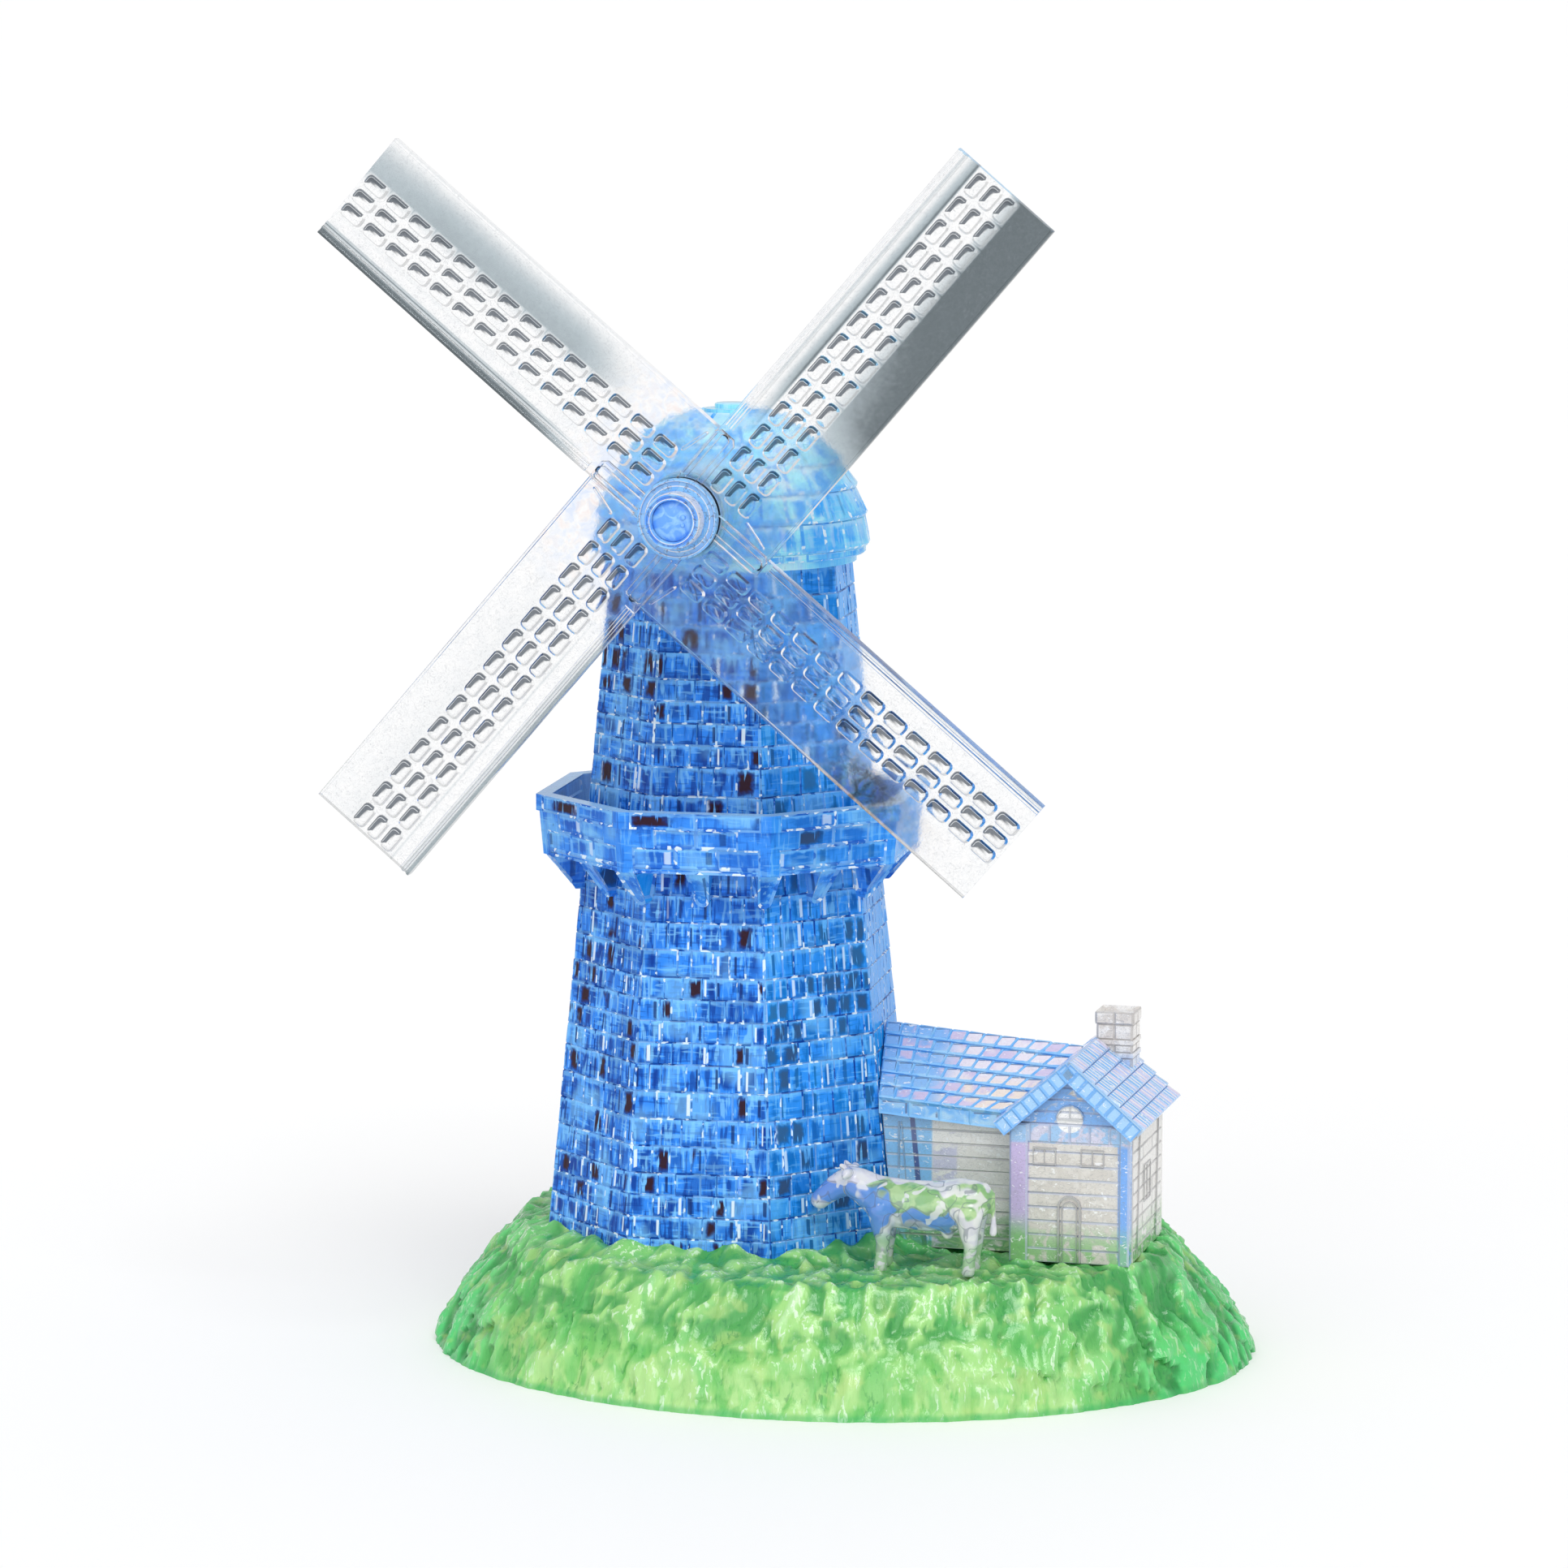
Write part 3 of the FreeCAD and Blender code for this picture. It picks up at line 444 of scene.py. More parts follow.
def cottage_shade(name):
    """Return a new Shade, with the cottage's own x, y and z in millimetres."""
    shade = Shade(name)
    away = shade.vector("SUBTRACT", shade.position, tuple(cottage_origin / MM))
    axes = (cottage_right, cottage_back, (0.0, 0.0, 1.0))
    return (shade, *[shade.dot(away, tuple(axis)) for axis in axes])


def cottage_finish(shade, edge, busy):
    """Add threads, painted glints, tile edges and dark mouldings to the cottage's plastic and return its
    material.
    """
    threads = shade.grain((1.1, 1.1, 1.7), 3.0, 1.1)
    shade.over((128, 132, 142), shade.band(threads, 0.505, 0.53, 0.012), busy)
    # Painted glints along the threads.
    shade.over((252, 253, 255), shade.step(threads, 0.62, 0.68), 0.8)
    groove = shade.attribute("groove")
    shade.over(edge, shade.band(groove, 0.5, 1.5, 0.3), 0.6)
    shade.over((132, 136, 146), shade.step(groove, 1.5, 1.9), 0.5)
    return shade.plastic(shade.grain(1.1, 3.0, 0.5), (0.1, 0.03), (0.2, 0.25), 0.15)


def cottage_wall_clear():
    """Return the cottage walls' plastic: warm grey, blue towards the tower, and green near the grass as a
    painted reflection of it.
    """
    shade, x, _, z = cottage_shade("cottage_wall_clear")
    patch, mixed = shade.toned((0.35, 0.35, 0.7), 2.0, 0.8, 0.3)
    shade.colour = shade.ramp(mixed, 0.35, 0.65, (236, 232, 227), (246, 244, 240))
    slanted = shade.line(z, 0.1, x)
    strips = shade.mix(shade.band(slanted, -14.6, -14.0, 0.2), (132, 202, 255), (40, 78, 150))
    shade.over(strips, shade.step(x, -13.0, -13.4), 0.9)
    shade.over((206, 206, 236), shade.band(x, -12.8, -9.6, 0.5), shade.step(mixed, 0.56, 0.46), 0.75)
    # Painted reflection of the grass: green near the foot of the walls.
    leaf = shade.ramp(patch, 0.5, 0.62, (92, 172, 92), (156, 206, 132))
    shade.over(leaf, shade.step(z, 7.5, 2.5), shade.step(patch, 0.3, 0.5), 0.85)
    return cottage_finish(shade, (196, 196, 198), 0.25)


def cottage_front_clear():
    """Return the gable front's plastic: blue gable and right post, lavender left post, white window, and a
    painted green reflection of the grass near the foot.
    """
    shade, x, _, z = cottage_shade("cottage_front_clear")
    patch = shade.grain(0.45, 2.0, 0.9)
    top = WING_WALL_TOP
    shade.colour = shade.ramp(patch, 0.4, 0.6, (218, 213, 207), (228, 224, 219))
    shade.over((104, 180, 255), shade.step(z, top - 0.6, top + 0.4), shade.step(patch, 0.3, 0.44), 0.85)
    beam = shade.ramp(patch, 0.46, 0.58, (142, 202, 255), (214, 214, 244))
    shade.over(beam, shade.band(z, top - 2.9, top, 0.2), 0.75)
    under_beam = shade.step(z, 18.6, 17.8)
    # Painted reflection of the grass: the left post turns green near its foot.
    post = shade.ramp(z, 8.0, 3.0, (200, 182, 234), (120, 196, 118))
    shade.over(post, shade.step(x, 3.1, 2.7), under_beam, 0.85)
    shade.over((92, 170, 255), shade.step(x, WING_W - 2.0, WING_W - 1.6), under_beam, 0.85)
    # Painted reflection of the grass near the foot of the wall.
    shade.over((132, 196, 120), shade.step(z, 7.0, 2.0), shade.step(patch, 0.34, 0.5), 0.8)
    away = shade.vector("SUBTRACT", shade.add("ShaderNodeCombineXYZ", x, z).outputs[0],
                        (WING_MID, top + SILL_UP, 0.0))
    window = shade.step(shade.math("SQRT", shade.dot(away, away)), WINDOW_R + 0.05, WINDOW_R - 0.15)
    shade.over((255, 255, 255), window)
    return cottage_finish(shade, (190, 200, 222), 0.3)


def main_roof_clear():
    """Return the main roof's plastic: light blue bars round lavender and beige cells, bluer by the tower,
    with painted shadow lines along the cells' edges.
    """
    shade, x, _, z = cottage_shade("main_roof_clear")
    patch, mixed = shade.toned(0.3, 2.0, 0.6, 0.4)
    u = shade.attribute("tile_u")
    v = shade.attribute("tile_v")
    pane = shade.ramp(mixed, 0.4, 0.6, (222, 208, 238), (246, 238, 248))
    beige = shade.times(shade.step(z, 26.6, 24.6), shade.step(mixed, 0.36, 0.5), 0.9)
    pane = shade.mix(beige, pane, (255, 238, 220))
    blue = shade.times(shade.step(x, -9.5, -14.0), shade.step(mixed, 0.3, 0.44), 0.85)
    pane = shade.mix(blue, pane, (128, 196, 255))
    shade.colour = shade.ramp(patch, 0.42, 0.6, (112, 188, 255), (176, 222, 255))
    not_fascia = shade.math("SUBTRACT", 1.0, shade.step(z, 22.4, 22.0))
    shade.over(pane, shade.near(u, 0.5, 0.47, 0.4), shade.near(v, 0.46, 0.42, 0.34), not_fascia)
    # Painted shadow lines along the upper edge and one side of each cell.
    lip = shade.times(shade.near(v, 0.88, 0.08, 0.03), shade.near(u, 0.5, 0.48, 0.42))
    side = shade.times(shade.near(u, 0.95, 0.06, 0.02), shade.near(v, 0.46, 0.42, 0.36))
    shade.over((84, 98, 138), shade.math("MAXIMUM", lip, side), shade.step(mixed, 0.34, 0.46), 0.75)
    return cottage_finish(shade, (140, 206, 255), 0.15)


def wing_roof_clear():
    """Return the wing roof's plastic: white ribs with blue and violet between them, and a blue front edge."""
    shade, _, y, _ = cottage_shade("wing_roof_clear")
    _, mixed = shade.toned(0.34, 2.0, 0.6, 0.4)
    shade.colour = shade.ramp(mixed, 0.46, 0.58, (124, 194, 255), (222, 212, 250))
    shade.over((250, 252, 255), shade.band(shade.math("FRACT", shade.times(y, 0.75)), 0.25, 0.55, 0.1), 0.85)
    front = shade.step(y, -0.9, -1.2)
    shade.over((156, 210, 255), front, 0.85)
    shade.over((112, 188, 255), front, shade.attribute("groove"), 0.7)
    return cottage_finish(shade, (132, 190, 250), 0.15)


def chimney_clear():
    """Return the chimney's plastic: warm white with a blue tint near the roof."""
    shade, _, _, z = cottage_shade("chimney_clear")
    shade.colour = shade.ramp(shade.grain(0.5, 2.0, 0.7), 0.4, 0.6, (226, 220, 214), (248, 245, 241))
    shade.over((150, 196, 255), shade.step(z, 29.5, 27.0), 0.7)
    return cottage_finish(shade, (176, 172, 170), 0.4)


def cow_clear():
    """Return the cow's plastic: clear, with the green of the grass and the blue of the tower painted in as
    refraction.
    """
    shade = Shade("cow_clear")
    away = shade.vector("SUBTRACT", shade.position, tuple(cow_origin / MM))
    bend = shade.math("SUBTRACT", shade.grain(0.34, 0.0, 0.3), 0.5)
    x = shade.line(bend, 6.0, shade.dot(away, tuple(cottage_right)))
    z = shade.line(bend, -5.0, shade.split(away)[2])
    pooled = shade.grain(0.5, 2.0, 0.6)
    shade.colour = shade.ramp(pooled, 0.42, 0.6, (240, 238, 250), (255, 255, 255))
    # Painted refraction of the grass: green through the middle of the body.
    green = shade.ramp(pooled, 0.4, 0.6, (134, 200, 108), (186, 230, 150))
    shade.over(green, shade.band(z, 9.6, 12.6, 0.5), shade.step(x, -9.0, -8.0), 0.9)
    # Painted refraction of the tower: blue pools, with dark edges round them.
    for low, high, foot, top in COW_POOLS:
        pool = shade.times(shade.band(x, low, high, 0.4), shade.band(z, foot, top, 0.4))
        shade.over((78, 150, 246), pool, 0.9)
        rim = shade.times(shade.band(x, low - 0.5, high + 0.5, 0.3),
                          shade.band(z, foot - 0.5, top + 0.5, 0.3))
        shade.over((96, 108, 128), rim, shade.math("SUBTRACT", 1.0, pool), 0.5)
    # Painted refraction of the grass low down.
    shade.over((142, 208, 132), shade.step(z, 5.0, 3.0), shade.step(pooled, 0.46, 0.52), 0.7)
    shade.over((96, 110, 128), shade.band(shade.grain(0.3, 1.0, 0.4), 0.49, 0.51, 0.01), 0.5)
    shade.over((255, 255, 255), shade.step(shade.grain(0.42, 1.0, 0.5), 0.6, 0.66), 0.85)
    return shade.plastic(shade.grain(1.2, 2.0, 0.5), (0.05, 0.01), (0.15, 0.25), 0.4, 0.6)


# ---------------------------------------------------------------- mesh helpers

def put(name, data):
    """Return a new object in the scene."""
    made = bpy.data.objects.new(name, data)
    bpy.context.scene.collection.objects.link(made)
    return made


def clamp(value, low=0.0):
    """Return a value held between a low end and 1."""
    return min(1.0, max(low, value))


def bridge(bm, near, far):
    """Join two loops of vertices with a band of faces and return the faces."""
    count = len(near)
    pairs = [(i, (i + 1) % count) for i in range(count)]
    return [bm.faces.new([near[i], near[j], far[j], far[i]]) for i, j in pairs]


def add_piece(name, bm, material, body, nodes, smooth=None):
    """Make an object from a bmesh, which stands for some CAD nodes and rides on a body."""
    bmesh.ops.recalc_face_normals(bm, faces=bm.faces)
    mesh = bpy.data.meshes.new(name)
    bm.to_mesh(mesh)
    bm.free()
    mesh.materials.append(material)
    if smooth is not None:
        mesh.shade_smooth()
        mesh.set_sharp_from_angle(angle=math.radians(smooth))
    piece = put(name, mesh)
    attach(piece, body)
    if nodes:
        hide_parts(*nodes)
    return piece


def tiled_mesh():
    """Return an empty bmesh whose faces hold a tone, a groove mark and the place across and up each tile."""
    bm = bmesh.new()
    bm.faces.layers.float.new("tone")
    bm.faces.layers.float.new("groove")
    bm.loops.layers.float.new("tile_u")
    bm.loops.layers.float.new("tile_v")
    return bm


def mark_tile(bm, face):
    """Note how far each corner of a tile lies across and up it, from 0 to 1."""
    across = Vector((0, 0, 1)).cross(face.normal)
    across = across.normalized() if across.length > 0.05 else Vector((1, 0, 0))
    for name, axis in (("tile_u", across), ("tile_v", face.normal.cross(across))):
        layer = bm.loops.layers.float[name]
        places = [loop.vert.co.dot(axis) for loop in face.loops]
        low = min(places)
        width = max(places) - low
        for loop, place in zip(face.loops, places):
            loop[layer] = (place - low) / width


def shell(bm, skin, place, outer, inner):
    """Add a closed wall: skin faces placed at the outer depth, the same at the inner one, and the rim."""
    top = {}
    bottom = {}
    for face in skin:
        for key in face:
            if key not in top:
                top[key] = bm.verts.new(place(key, outer))
                bottom[key] = bm.verts.new(place(key, inner))
    directed = set()
    fronts = []
    for face in skin:
        fronts.append(bm.faces.new([top[key] for key in face]))
        bm.faces.new([bottom[key] for key in reversed(face)])
        directed.update(zip(face, face[1:] + face[:1]))
    for a, b in directed:
        if (b, a) not in directed:
            bm.faces.new([top[b], top[a], bottom[a], bottom[b]])
    return fronts


def raise_tiles(bm, fronts, finish, rng):
    """Raise each front face as a tile with sloping edges and a small random tilt."""
    edge, relief, tilt = finish
    bmesh.ops.recalc_face_normals(bm, faces=bm.faces)
    tone = bm.faces.layers.float["tone"]
    groove = bm.faces.layers.float["groove"]
    for face in fronts:
        face[tone] = rng.random()
    made = bmesh.ops.inset_individual(bm, faces=fronts, thickness=edge * MM, depth=relief * MM,
                                       use_even_offset=True)
    for face in made["faces"]:
        face[groove] = 1.0
    for face in fronts:
        face[groove] = 0.0
        centre = face.calc_center_median()
        normal = face.normal.copy()
        lean = Vector([rng.uniform(-tilt, tilt) for _ in range(3)])
        for vertex in face.verts:
            vertex.co += normal * (vertex.co - centre).dot(lean)
        mark_tile(bm, face)


def course(bm, place, joints, levels, depths, finish, rng):
    """Add one row of tiles as a closed slab.

    joints and levels hold their values below and above. depths holds such a pair for the outer face and one
    for the inner face.
    """
    skin = [[(i, 0), (i + 1, 0), (i + 1, 1), (i, 1)] for i in range(len(joints[0]) - 1)]

    def spot(key, pair):
        i, level = key
        return place(joints[level][i], levels[level], pair[level])

    raise_tiles(bm, shell(bm, skin, spot, *depths), finish, rng)


def spaced(low, high, count):
    """Return the places between two ends in a number of equal steps."""
    return [low + (high - low) * i / count for i in range(count + 1)]


def evenly(low, high, pitch):
    """Return the places between two ends in equal steps close to a pitch."""
    return spaced(low, high, max(1, round((high - low) / pitch)))


def lathe(bm, profile, steps, place):
    """Add a closed ring solid from a closed profile of (radius, height), turned about an axis."""
    rings = []
    for i in range(steps):
        turn = 2 * math.pi * i / steps
        rings.append([bm.verts.new(place(radius, height, turn)) for radius, height in profile])
    for i in range(steps):
        near = rings[i]
        far = rings[(i + 1) % steps]
        for j in range(len(profile)):
            k = (j + 1) % len(profile)
            bm.faces.new([near[j], far[j], far[k], near[k]])


MOULDING_MARK = 2.0


def moulding(bm, place, path, width, height, closed=False):
    """Add a bar with sloping sides along a path on a wall."""
    points = [Vector(p) for p in path]
    rings = []
    count = len(points)
    for i, point in enumerate(points):
        before = points[i - 1] if closed or i else point
        after = points[(i + 1) % count] if closed or i < count - 1 else point
        along = (after - before).normalized()
        side = Vector((-along.y, along.x))
        ring = []
        for share, depth in ((-0.5, 0.3), (-0.32, -height), (0.32, -height), (0.5, 0.3)):
            spot = point + side * (width * share)
            ring.append(bm.verts.new(place(spot.x, spot.y, depth)))
        rings.append(ring)
    pairs = list(zip(rings, rings[1:])) + ([(rings[-1], rings[0])] if closed else [])
    faces = [face for near, far in pairs for face in bridge(bm, near, far)]
    if not closed:
        faces += [bm.faces.new(rings[0]), bm.faces.new(rings[-1])]
    groove = bm.faces.layers.float.get("groove")
    if groove:
        for face in faces:
            face[groove] = MOULDING_MARK


# ---------------------------------------------------------------- tower

def brick_edges(course, facet, z):
    """Return where one course's bricks meet on one facet, as fractions of the facet from -0.5 to 0.5."""
    rng = random.Random(course * 8 + facet % 8)
    count = LOWER_BRICKS if z < deck_bottom else UPPER_BRICKS
    offset = 0.5 if course % 2 else 0.0
    first = 0 if offset else 1
    edges = [(i + offset + rng.uniform(-0.22, 0.22)) / count - 0.5 for i in range(first, count)]
    return [-0.5] + [edge for edge in edges if -0.47 < edge < 0.47] + [0.5]


def seam_edge(course, facet, z):
    """Return the brick joint nearest the middle of a facet, where two tower pieces meet."""
    return min(brick_edges(course, facet, z), key=abs)


def course_joints(course, start, z):
    """Return the places of all brick joints of one course of one piece, which begins at facet start."""
    joints = []
    for facet in range(start, start + 3):
        low = seam_edge(course, facet, z) if facet == start else -0.5
        high = seam_edge(course, facet, z) if facet == start + 2 else 0.5
        joints += [round(facet + e, 5) for e in brick_edges(course, facet, z) if low <= e <= high]
    return sorted(set(joints))


def tile_rows(rows, stepped=False):
    """Return skin faces for rows of tiles given by their joints. Stepped rows have a ledge between them."""
    skin = []
    for i, row in enumerate(rows):
        foot_level = 2 * i if stepped else i
        below = set(row) | (set(rows[i - 1]) if i else set())
        above = set(row) | (set(rows[i + 1]) if i + 1 < len(rows) else set())
        for left, right in zip(row, row[1:]):
            foot = sorted(p for p in below if left <= p <= right)
            head = sorted((p for p in above if left <= p <= right), reverse=True)
            skin.append([(p, foot_level) for p in foot] + [(p, foot_level + 1) for p in head])
    return skin


def ledges(rows):
    """Return skin faces for the ledges between stepped rows of tiles."""
    skin = []
    for i in range(len(rows) - 1):
        joints = sorted(set(rows[i]) | set(rows[i + 1]))
        low = 2 * i + 1
        for left, right in zip(joints, joints[1:]):
            skin.append([(left, low), (right, low), (right, low + 1), (left, low + 1)])
    return skin


def tower_piece(number, quarter, first_course, material):
    """Make one interlocking wall piece of the tower, with its bricks in relief."""
    z0 = layer_bottoms[number - 1]
    count = LAYER_COURSES[number - 1]
    start = 2 * quarter + (0 if number % 2 else 1)
    height = (layer_tops[number - 1] - z0) / count
    rows = [course_joints(first_course + i, start, z0 + i * height) for i in range(count)]

    def place(key, depth):
        z = z0 + key[1] * height
        return on_octagon(key[0], tower_r(z) - depth, z)

    bm = tiled_mesh()
    fronts = shell(bm, tile_rows(rows), place, 0.0, WALL)
    raise_tiles(bm, fronts, BRICK_FINISH, random.Random(100 * number + quarter))
    node = "tower_layer%d_%s" % (number, LETTERS[quarter])
    return add_piece(node + "_bricks", bm, material, "mill", [node])


def tower(material):
    """Make every wall piece of the tower."""
    first_course = 0
    for number in range(1, 8):
        for quarter in range(4):
            tower_piece(number, quarter, first_course, material)
        first_course += LAYER_COURSES[number - 1]


# ---------------------------------------------------------------- gallery

gallery_low, gallery_high = span(*["gallery_%s" % letter for letter in LETTERS])
RAIL_H = 2.5 * MM
RAIL_OUT = 0.3 * MM
PARAPET_T = 2.2 * MM
PARAPET_LEAN = 0.8 * MM
BAND_Z = 5.3 * MM
BRACKET_W = 3.6 * MM
BRACKET_FOOT = 2.2 * MM
BRACKET_STEPS = 8
PARAPET_JOINTS = [[], [0.36, 0.64], [0.22, 0.5, 0.78], [], [0.5]]
NUDGE = 1e-9
rail_r = (gallery_high.y - gallery_low.y) / 2 / APOTHEM
rail_z = gallery_high.z - RAIL_H
parapet_r = rail_r - RAIL_OUT - PARAPET_LEAN


def parapet_r_at(z):
    """Return the corner radius of the parapet's outer face at a height."""
    return parapet_r + PARAPET_LEAN * (z - deck_bottom) / (gallery_high.z - deck_bottom)


def bracket(bm, angle):
    """Add one bracket: a tongue with a round foot that slopes from the deck's edge to the wall."""
    on_corner = round(math.degrees(angle) / 22.5) % 2 == 1
    reach = 1.0 if on_corner else APOTHEM
    foot_z = gallery_low.z
    half = BRACKET_W / 2
    foot = BRACKET_FOOT / 2
    outline = [(-half, deck_bottom), (-foot, foot_z + foot)]
    for i in range(1, BRACKET_STEPS):
        turn = math.pi * (1 + i / BRACKET_STEPS)
        outline.append((foot * math.cos(turn), foot_z + foot + foot * math.sin(turn)))
    outline += [(foot, foot_z + foot), (half, deck_bottom)]
    drop = deck_bottom - foot_z
    radial = Vector((math.cos(angle), math.sin(angle), 0))
    side = Vector((-math.sin(angle), math.cos(angle), 0))
    axis = Vector((axis_x, axis_y, 0))
    front = []
    back = []
    for along, z in outline:
        rise = (z - foot_z) / drop
        wall_r = tower_r(z) * reach
        out_r = wall_r + 0.9 * MM + rise * (parapet_r * reach - wall_r - 1.3 * MM)
        front.append(bm.verts.new(axis + radial * out_r + side * along + Vector((0, 0, z))))
        back.append(bm.verts.new(axis + radial * (wall_r - 0.2 * MM) + side * along + Vector((0, 0, z))))
    bm.faces.new(list(reversed(back)))
    sides = []
    for i in range(len(front)):
        j = (i + 1) % len(front)
        sides.append(bm.faces.new([front[j], front[i], back[i], back[j]]))
    return [bm.faces.new(front), sides[0], sides[-2]]


def gallery_piece(quarter, material):
    """Make a quarter of the gallery: panelled parapet, rail, deck and four brackets."""
    start = 2 * quarter + 0.5
    heights = [deck_bottom, deck_bottom + 0.9 * MM, gallery_high.z - BAND_Z, rail_z, rail_z, gallery_high.z]
    rows = []
    for joints in PARAPET_JOINTS:
        splits = [0.0, 0.07] + joints + [0.93]
        rows.append([start + facet + split for facet in (0, 1) for split in splits] + [start + 2])

    def on_quarter(p, radius, z):
        """Place a point just inside the quarter, so that its corners fall on the quarter's own facets."""
        return on_octagon(p - NUDGE if p == start + 2 else p + NUDGE, radius, z)

    def parapet(key, inside):
        p, level = key
        z = heights[level]
        if inside:
            return on_quarter(p, parapet_r_at(z) - PARAPET_T, z + (0.02 * MM if level == 4 else 0))
        return on_quarter(p, rail_r if level >= 4 else parapet_r_at(z), z)

    def deck(key, z):
        return on_quarter(key[0], tower_r(deck_bottom) if key[1] else parapet_r - PARAPET_T, z)

    bm = tiled_mesh()
    shell(bm, tile_rows(rows), parapet, False, True)
    bmesh.ops.recalc_face_normals(bm, faces=bm.faces)
    rng = random.Random(40 + quarter)
    panels = [face for face in bm.faces if abs(face.normal.z) < 0.5 and face.calc_area() > 10 * MM * MM]
    raise_tiles(bm, panels, (0.32, -0.2, 0.012), rng)
    skin = [[(left, 0), (right, 0), (right, 1), (left, 1)] for left, right in zip(rows[2], rows[2][1:])]
    planks = shell(bm, skin, deck, deck_top, deck_bottom)
    feet = [face for i in range(4) for face in bracket(bm, math.radians(22.5 * (4 * quarter + i + 1)))]
    raise_tiles(bm, feet, (0.42, -0.3, 0.0), rng)
    raise_tiles(bm, planks, (0.3, -0.15, 0.01), rng)
    node = "gallery_" + LETTERS[quarter]
    return add_piece(node + "_panels", bm, material, "mill", [node])


# ---------------------------------------------------------------- cap

dome_low, dome_high = span("dome_front", "dome_back")
DOME_RISE = 21.0 * MM
TIERS = [0.0, 4.4, 8.7, 12.6, 15.8, 18.2, 19.9]
TIER_STEP = 0.5 * MM
DOME_WALL = 3.0 * MM
SHINGLE_W = 4.3 * MM
SHINGLE_FINISH = (0.3, 0.28, 0.03)
RIM_STEPS = 96
RIM_H = 1.3 * MM
OPENING_R = 3.6 * MM
OPENING_UP = 1.0 * MM
FINIAL_STEPS = [(4.2, 0.0), (4.2, 0.5), (2.6, 0.55), (2.6, 1.15), (2.3, 1.3)]
dome_r0 = (dome_high.x - dome_low.x) / 2


def dome_r(rise):
    """Return the dome's radius at a height above its foot."""
    return dome_r0 * math.sqrt(1 - (rise / DOME_RISE) ** 2)


def round_point(p, radius, z):
    """Return a point on a circle about the tower axis, with p from 0 to 1 round the circle."""
    angle = 2 * math.pi * p
    return Vector((axis_x + radius * math.cos(angle), axis_y + radius * math.sin(angle), z))


def ring_joints(radius, tier, low, high):
    """Return the joints of a ring of shingles between two places on the circle."""
    count = 2 * round(math.pi * radius / SHINGLE_W)
    offset = 0.5 if tier % 2 else 0.0
    inside = [round((i + offset) / count, 6) for i in range(-1, 2 * count)]
    return [low] + [p for p in inside if low + 0.2 / count < p < high - 0.2 / count] + [high]


def dome_part(name, node, tiers, low, high, material):
    """Make a shingled part of the dome between two places on the circle."""
    rows = [ring_joints(dome_r(TIERS[tier] * MM), tier, low, high) for tier in tiers]
    closed = high - low == 1.0

    def place(key, sink):
        p, level = key
        tier = tiers[level // 2]
        top = level % 2
        rise = TIERS[tier + top] * MM
        radius = dome_r(rise) - (TIER_STEP if top else 0) - sink
        return round_point(p, radius, dome_low.z + rise - sink * 0.3)

    def solid(face):
        """Tell whether the wall is closed at a face: it is open round the windshaft, inside the housing."""
        centre = sum((place(key, 0.0) for key in face), Vector()) / len(face)
        off_axis = math.hypot(centre.x - hub_point.x, centre.z - hub_point.z - OPENING_UP)
        return centre.y > axis_y or off_axis > OPENING_R

    bm = tiled_mesh()
    skin = [face for face in tile_rows(rows, stepped=True) if solid(face)]
    count = len(skin)
    skin += [face for face in ledges(rows) if solid(face)]
    fronts = shell(bm, skin, place, 0.0, DOME_WALL)
    if closed:
        bmesh.ops.remove_doubles(bm, verts=bm.verts, dist=1e-7)
    shingles = [face for face in fronts[:count] if face.is_valid]
    raise_tiles(bm, shingles, SHINGLE_FINISH, random.Random(len(name)))
    return add_piece(name, bm, material, "mill", [node])


def upright(radius, height, turn):
    """Place a lathe point about the tower axis."""
    return Vector((axis_x + radius * math.cos(turn), axis_y + radius * math.sin(turn), height))


def dome_crown(material):
    """Make the crown of the dome with its stepped finial."""
    crown_z = dome_low.z + TIERS[-1] * MM
    top_r = dome_r(TIERS[-1] * MM) - TIER_STEP
    bm = tiled_mesh()
    base = dome_low.z + TIERS[4] * MM
    profile = [(0.01 * MM, base), (dome_r(TIERS[4] * MM) - DOME_WALL, base), (top_r, crown_z)]
    profile += [(radius * MM, crown_z + height * MM) for radius, height in FINIAL_STEPS]
    profile.append((0.01 * MM, crown_z + 1.3 * MM))
    lathe(bm, profile, 64, upright)
    return add_piece("crown_finial", bm, material, "mill", [], smooth=35)


def rim_ring(material):
    """Make the ring under the dome: a plain band with a segmented rim above it."""
    joints = spaced(0.0, 1.0, RIM_STEPS)
    rows = [joints, joints[::3]]
    band_r = (ring_high.x - ring_low.x) / 2
    rim_z = dome_low.z - RIM_H
    levels = [(band_r - 0.3 * MM, tower_top), (band_r - 0.3 * MM, rim_z),
              (band_r + 0.9 * MM, rim_z), (band_r + 0.9 * MM, dome_low.z)]

    def place(key, inside):
        p, level = key
        radius, z = levels[level]
        if inside:
            return round_point(p, band_r - DOME_WALL, z + level * 1e-6)
        return round_point(p, radius, z)

    bm = tiled_mesh()
    skin = tile_rows(rows, stepped=True)
    fronts = shell(bm, skin + ledges(rows), place, False, True)
    bmesh.ops.remove_doubles(bm, verts=bm.verts, dist=1e-8)
    raise_tiles(bm, fronts[RIM_STEPS:len(skin)], (0.22, 0.2, 0.02), random.Random(9))
    return add_piece("cap_rim", bm, material, "mill", ["cap_ring"])


# ---------------------------------------------------------------- rotor

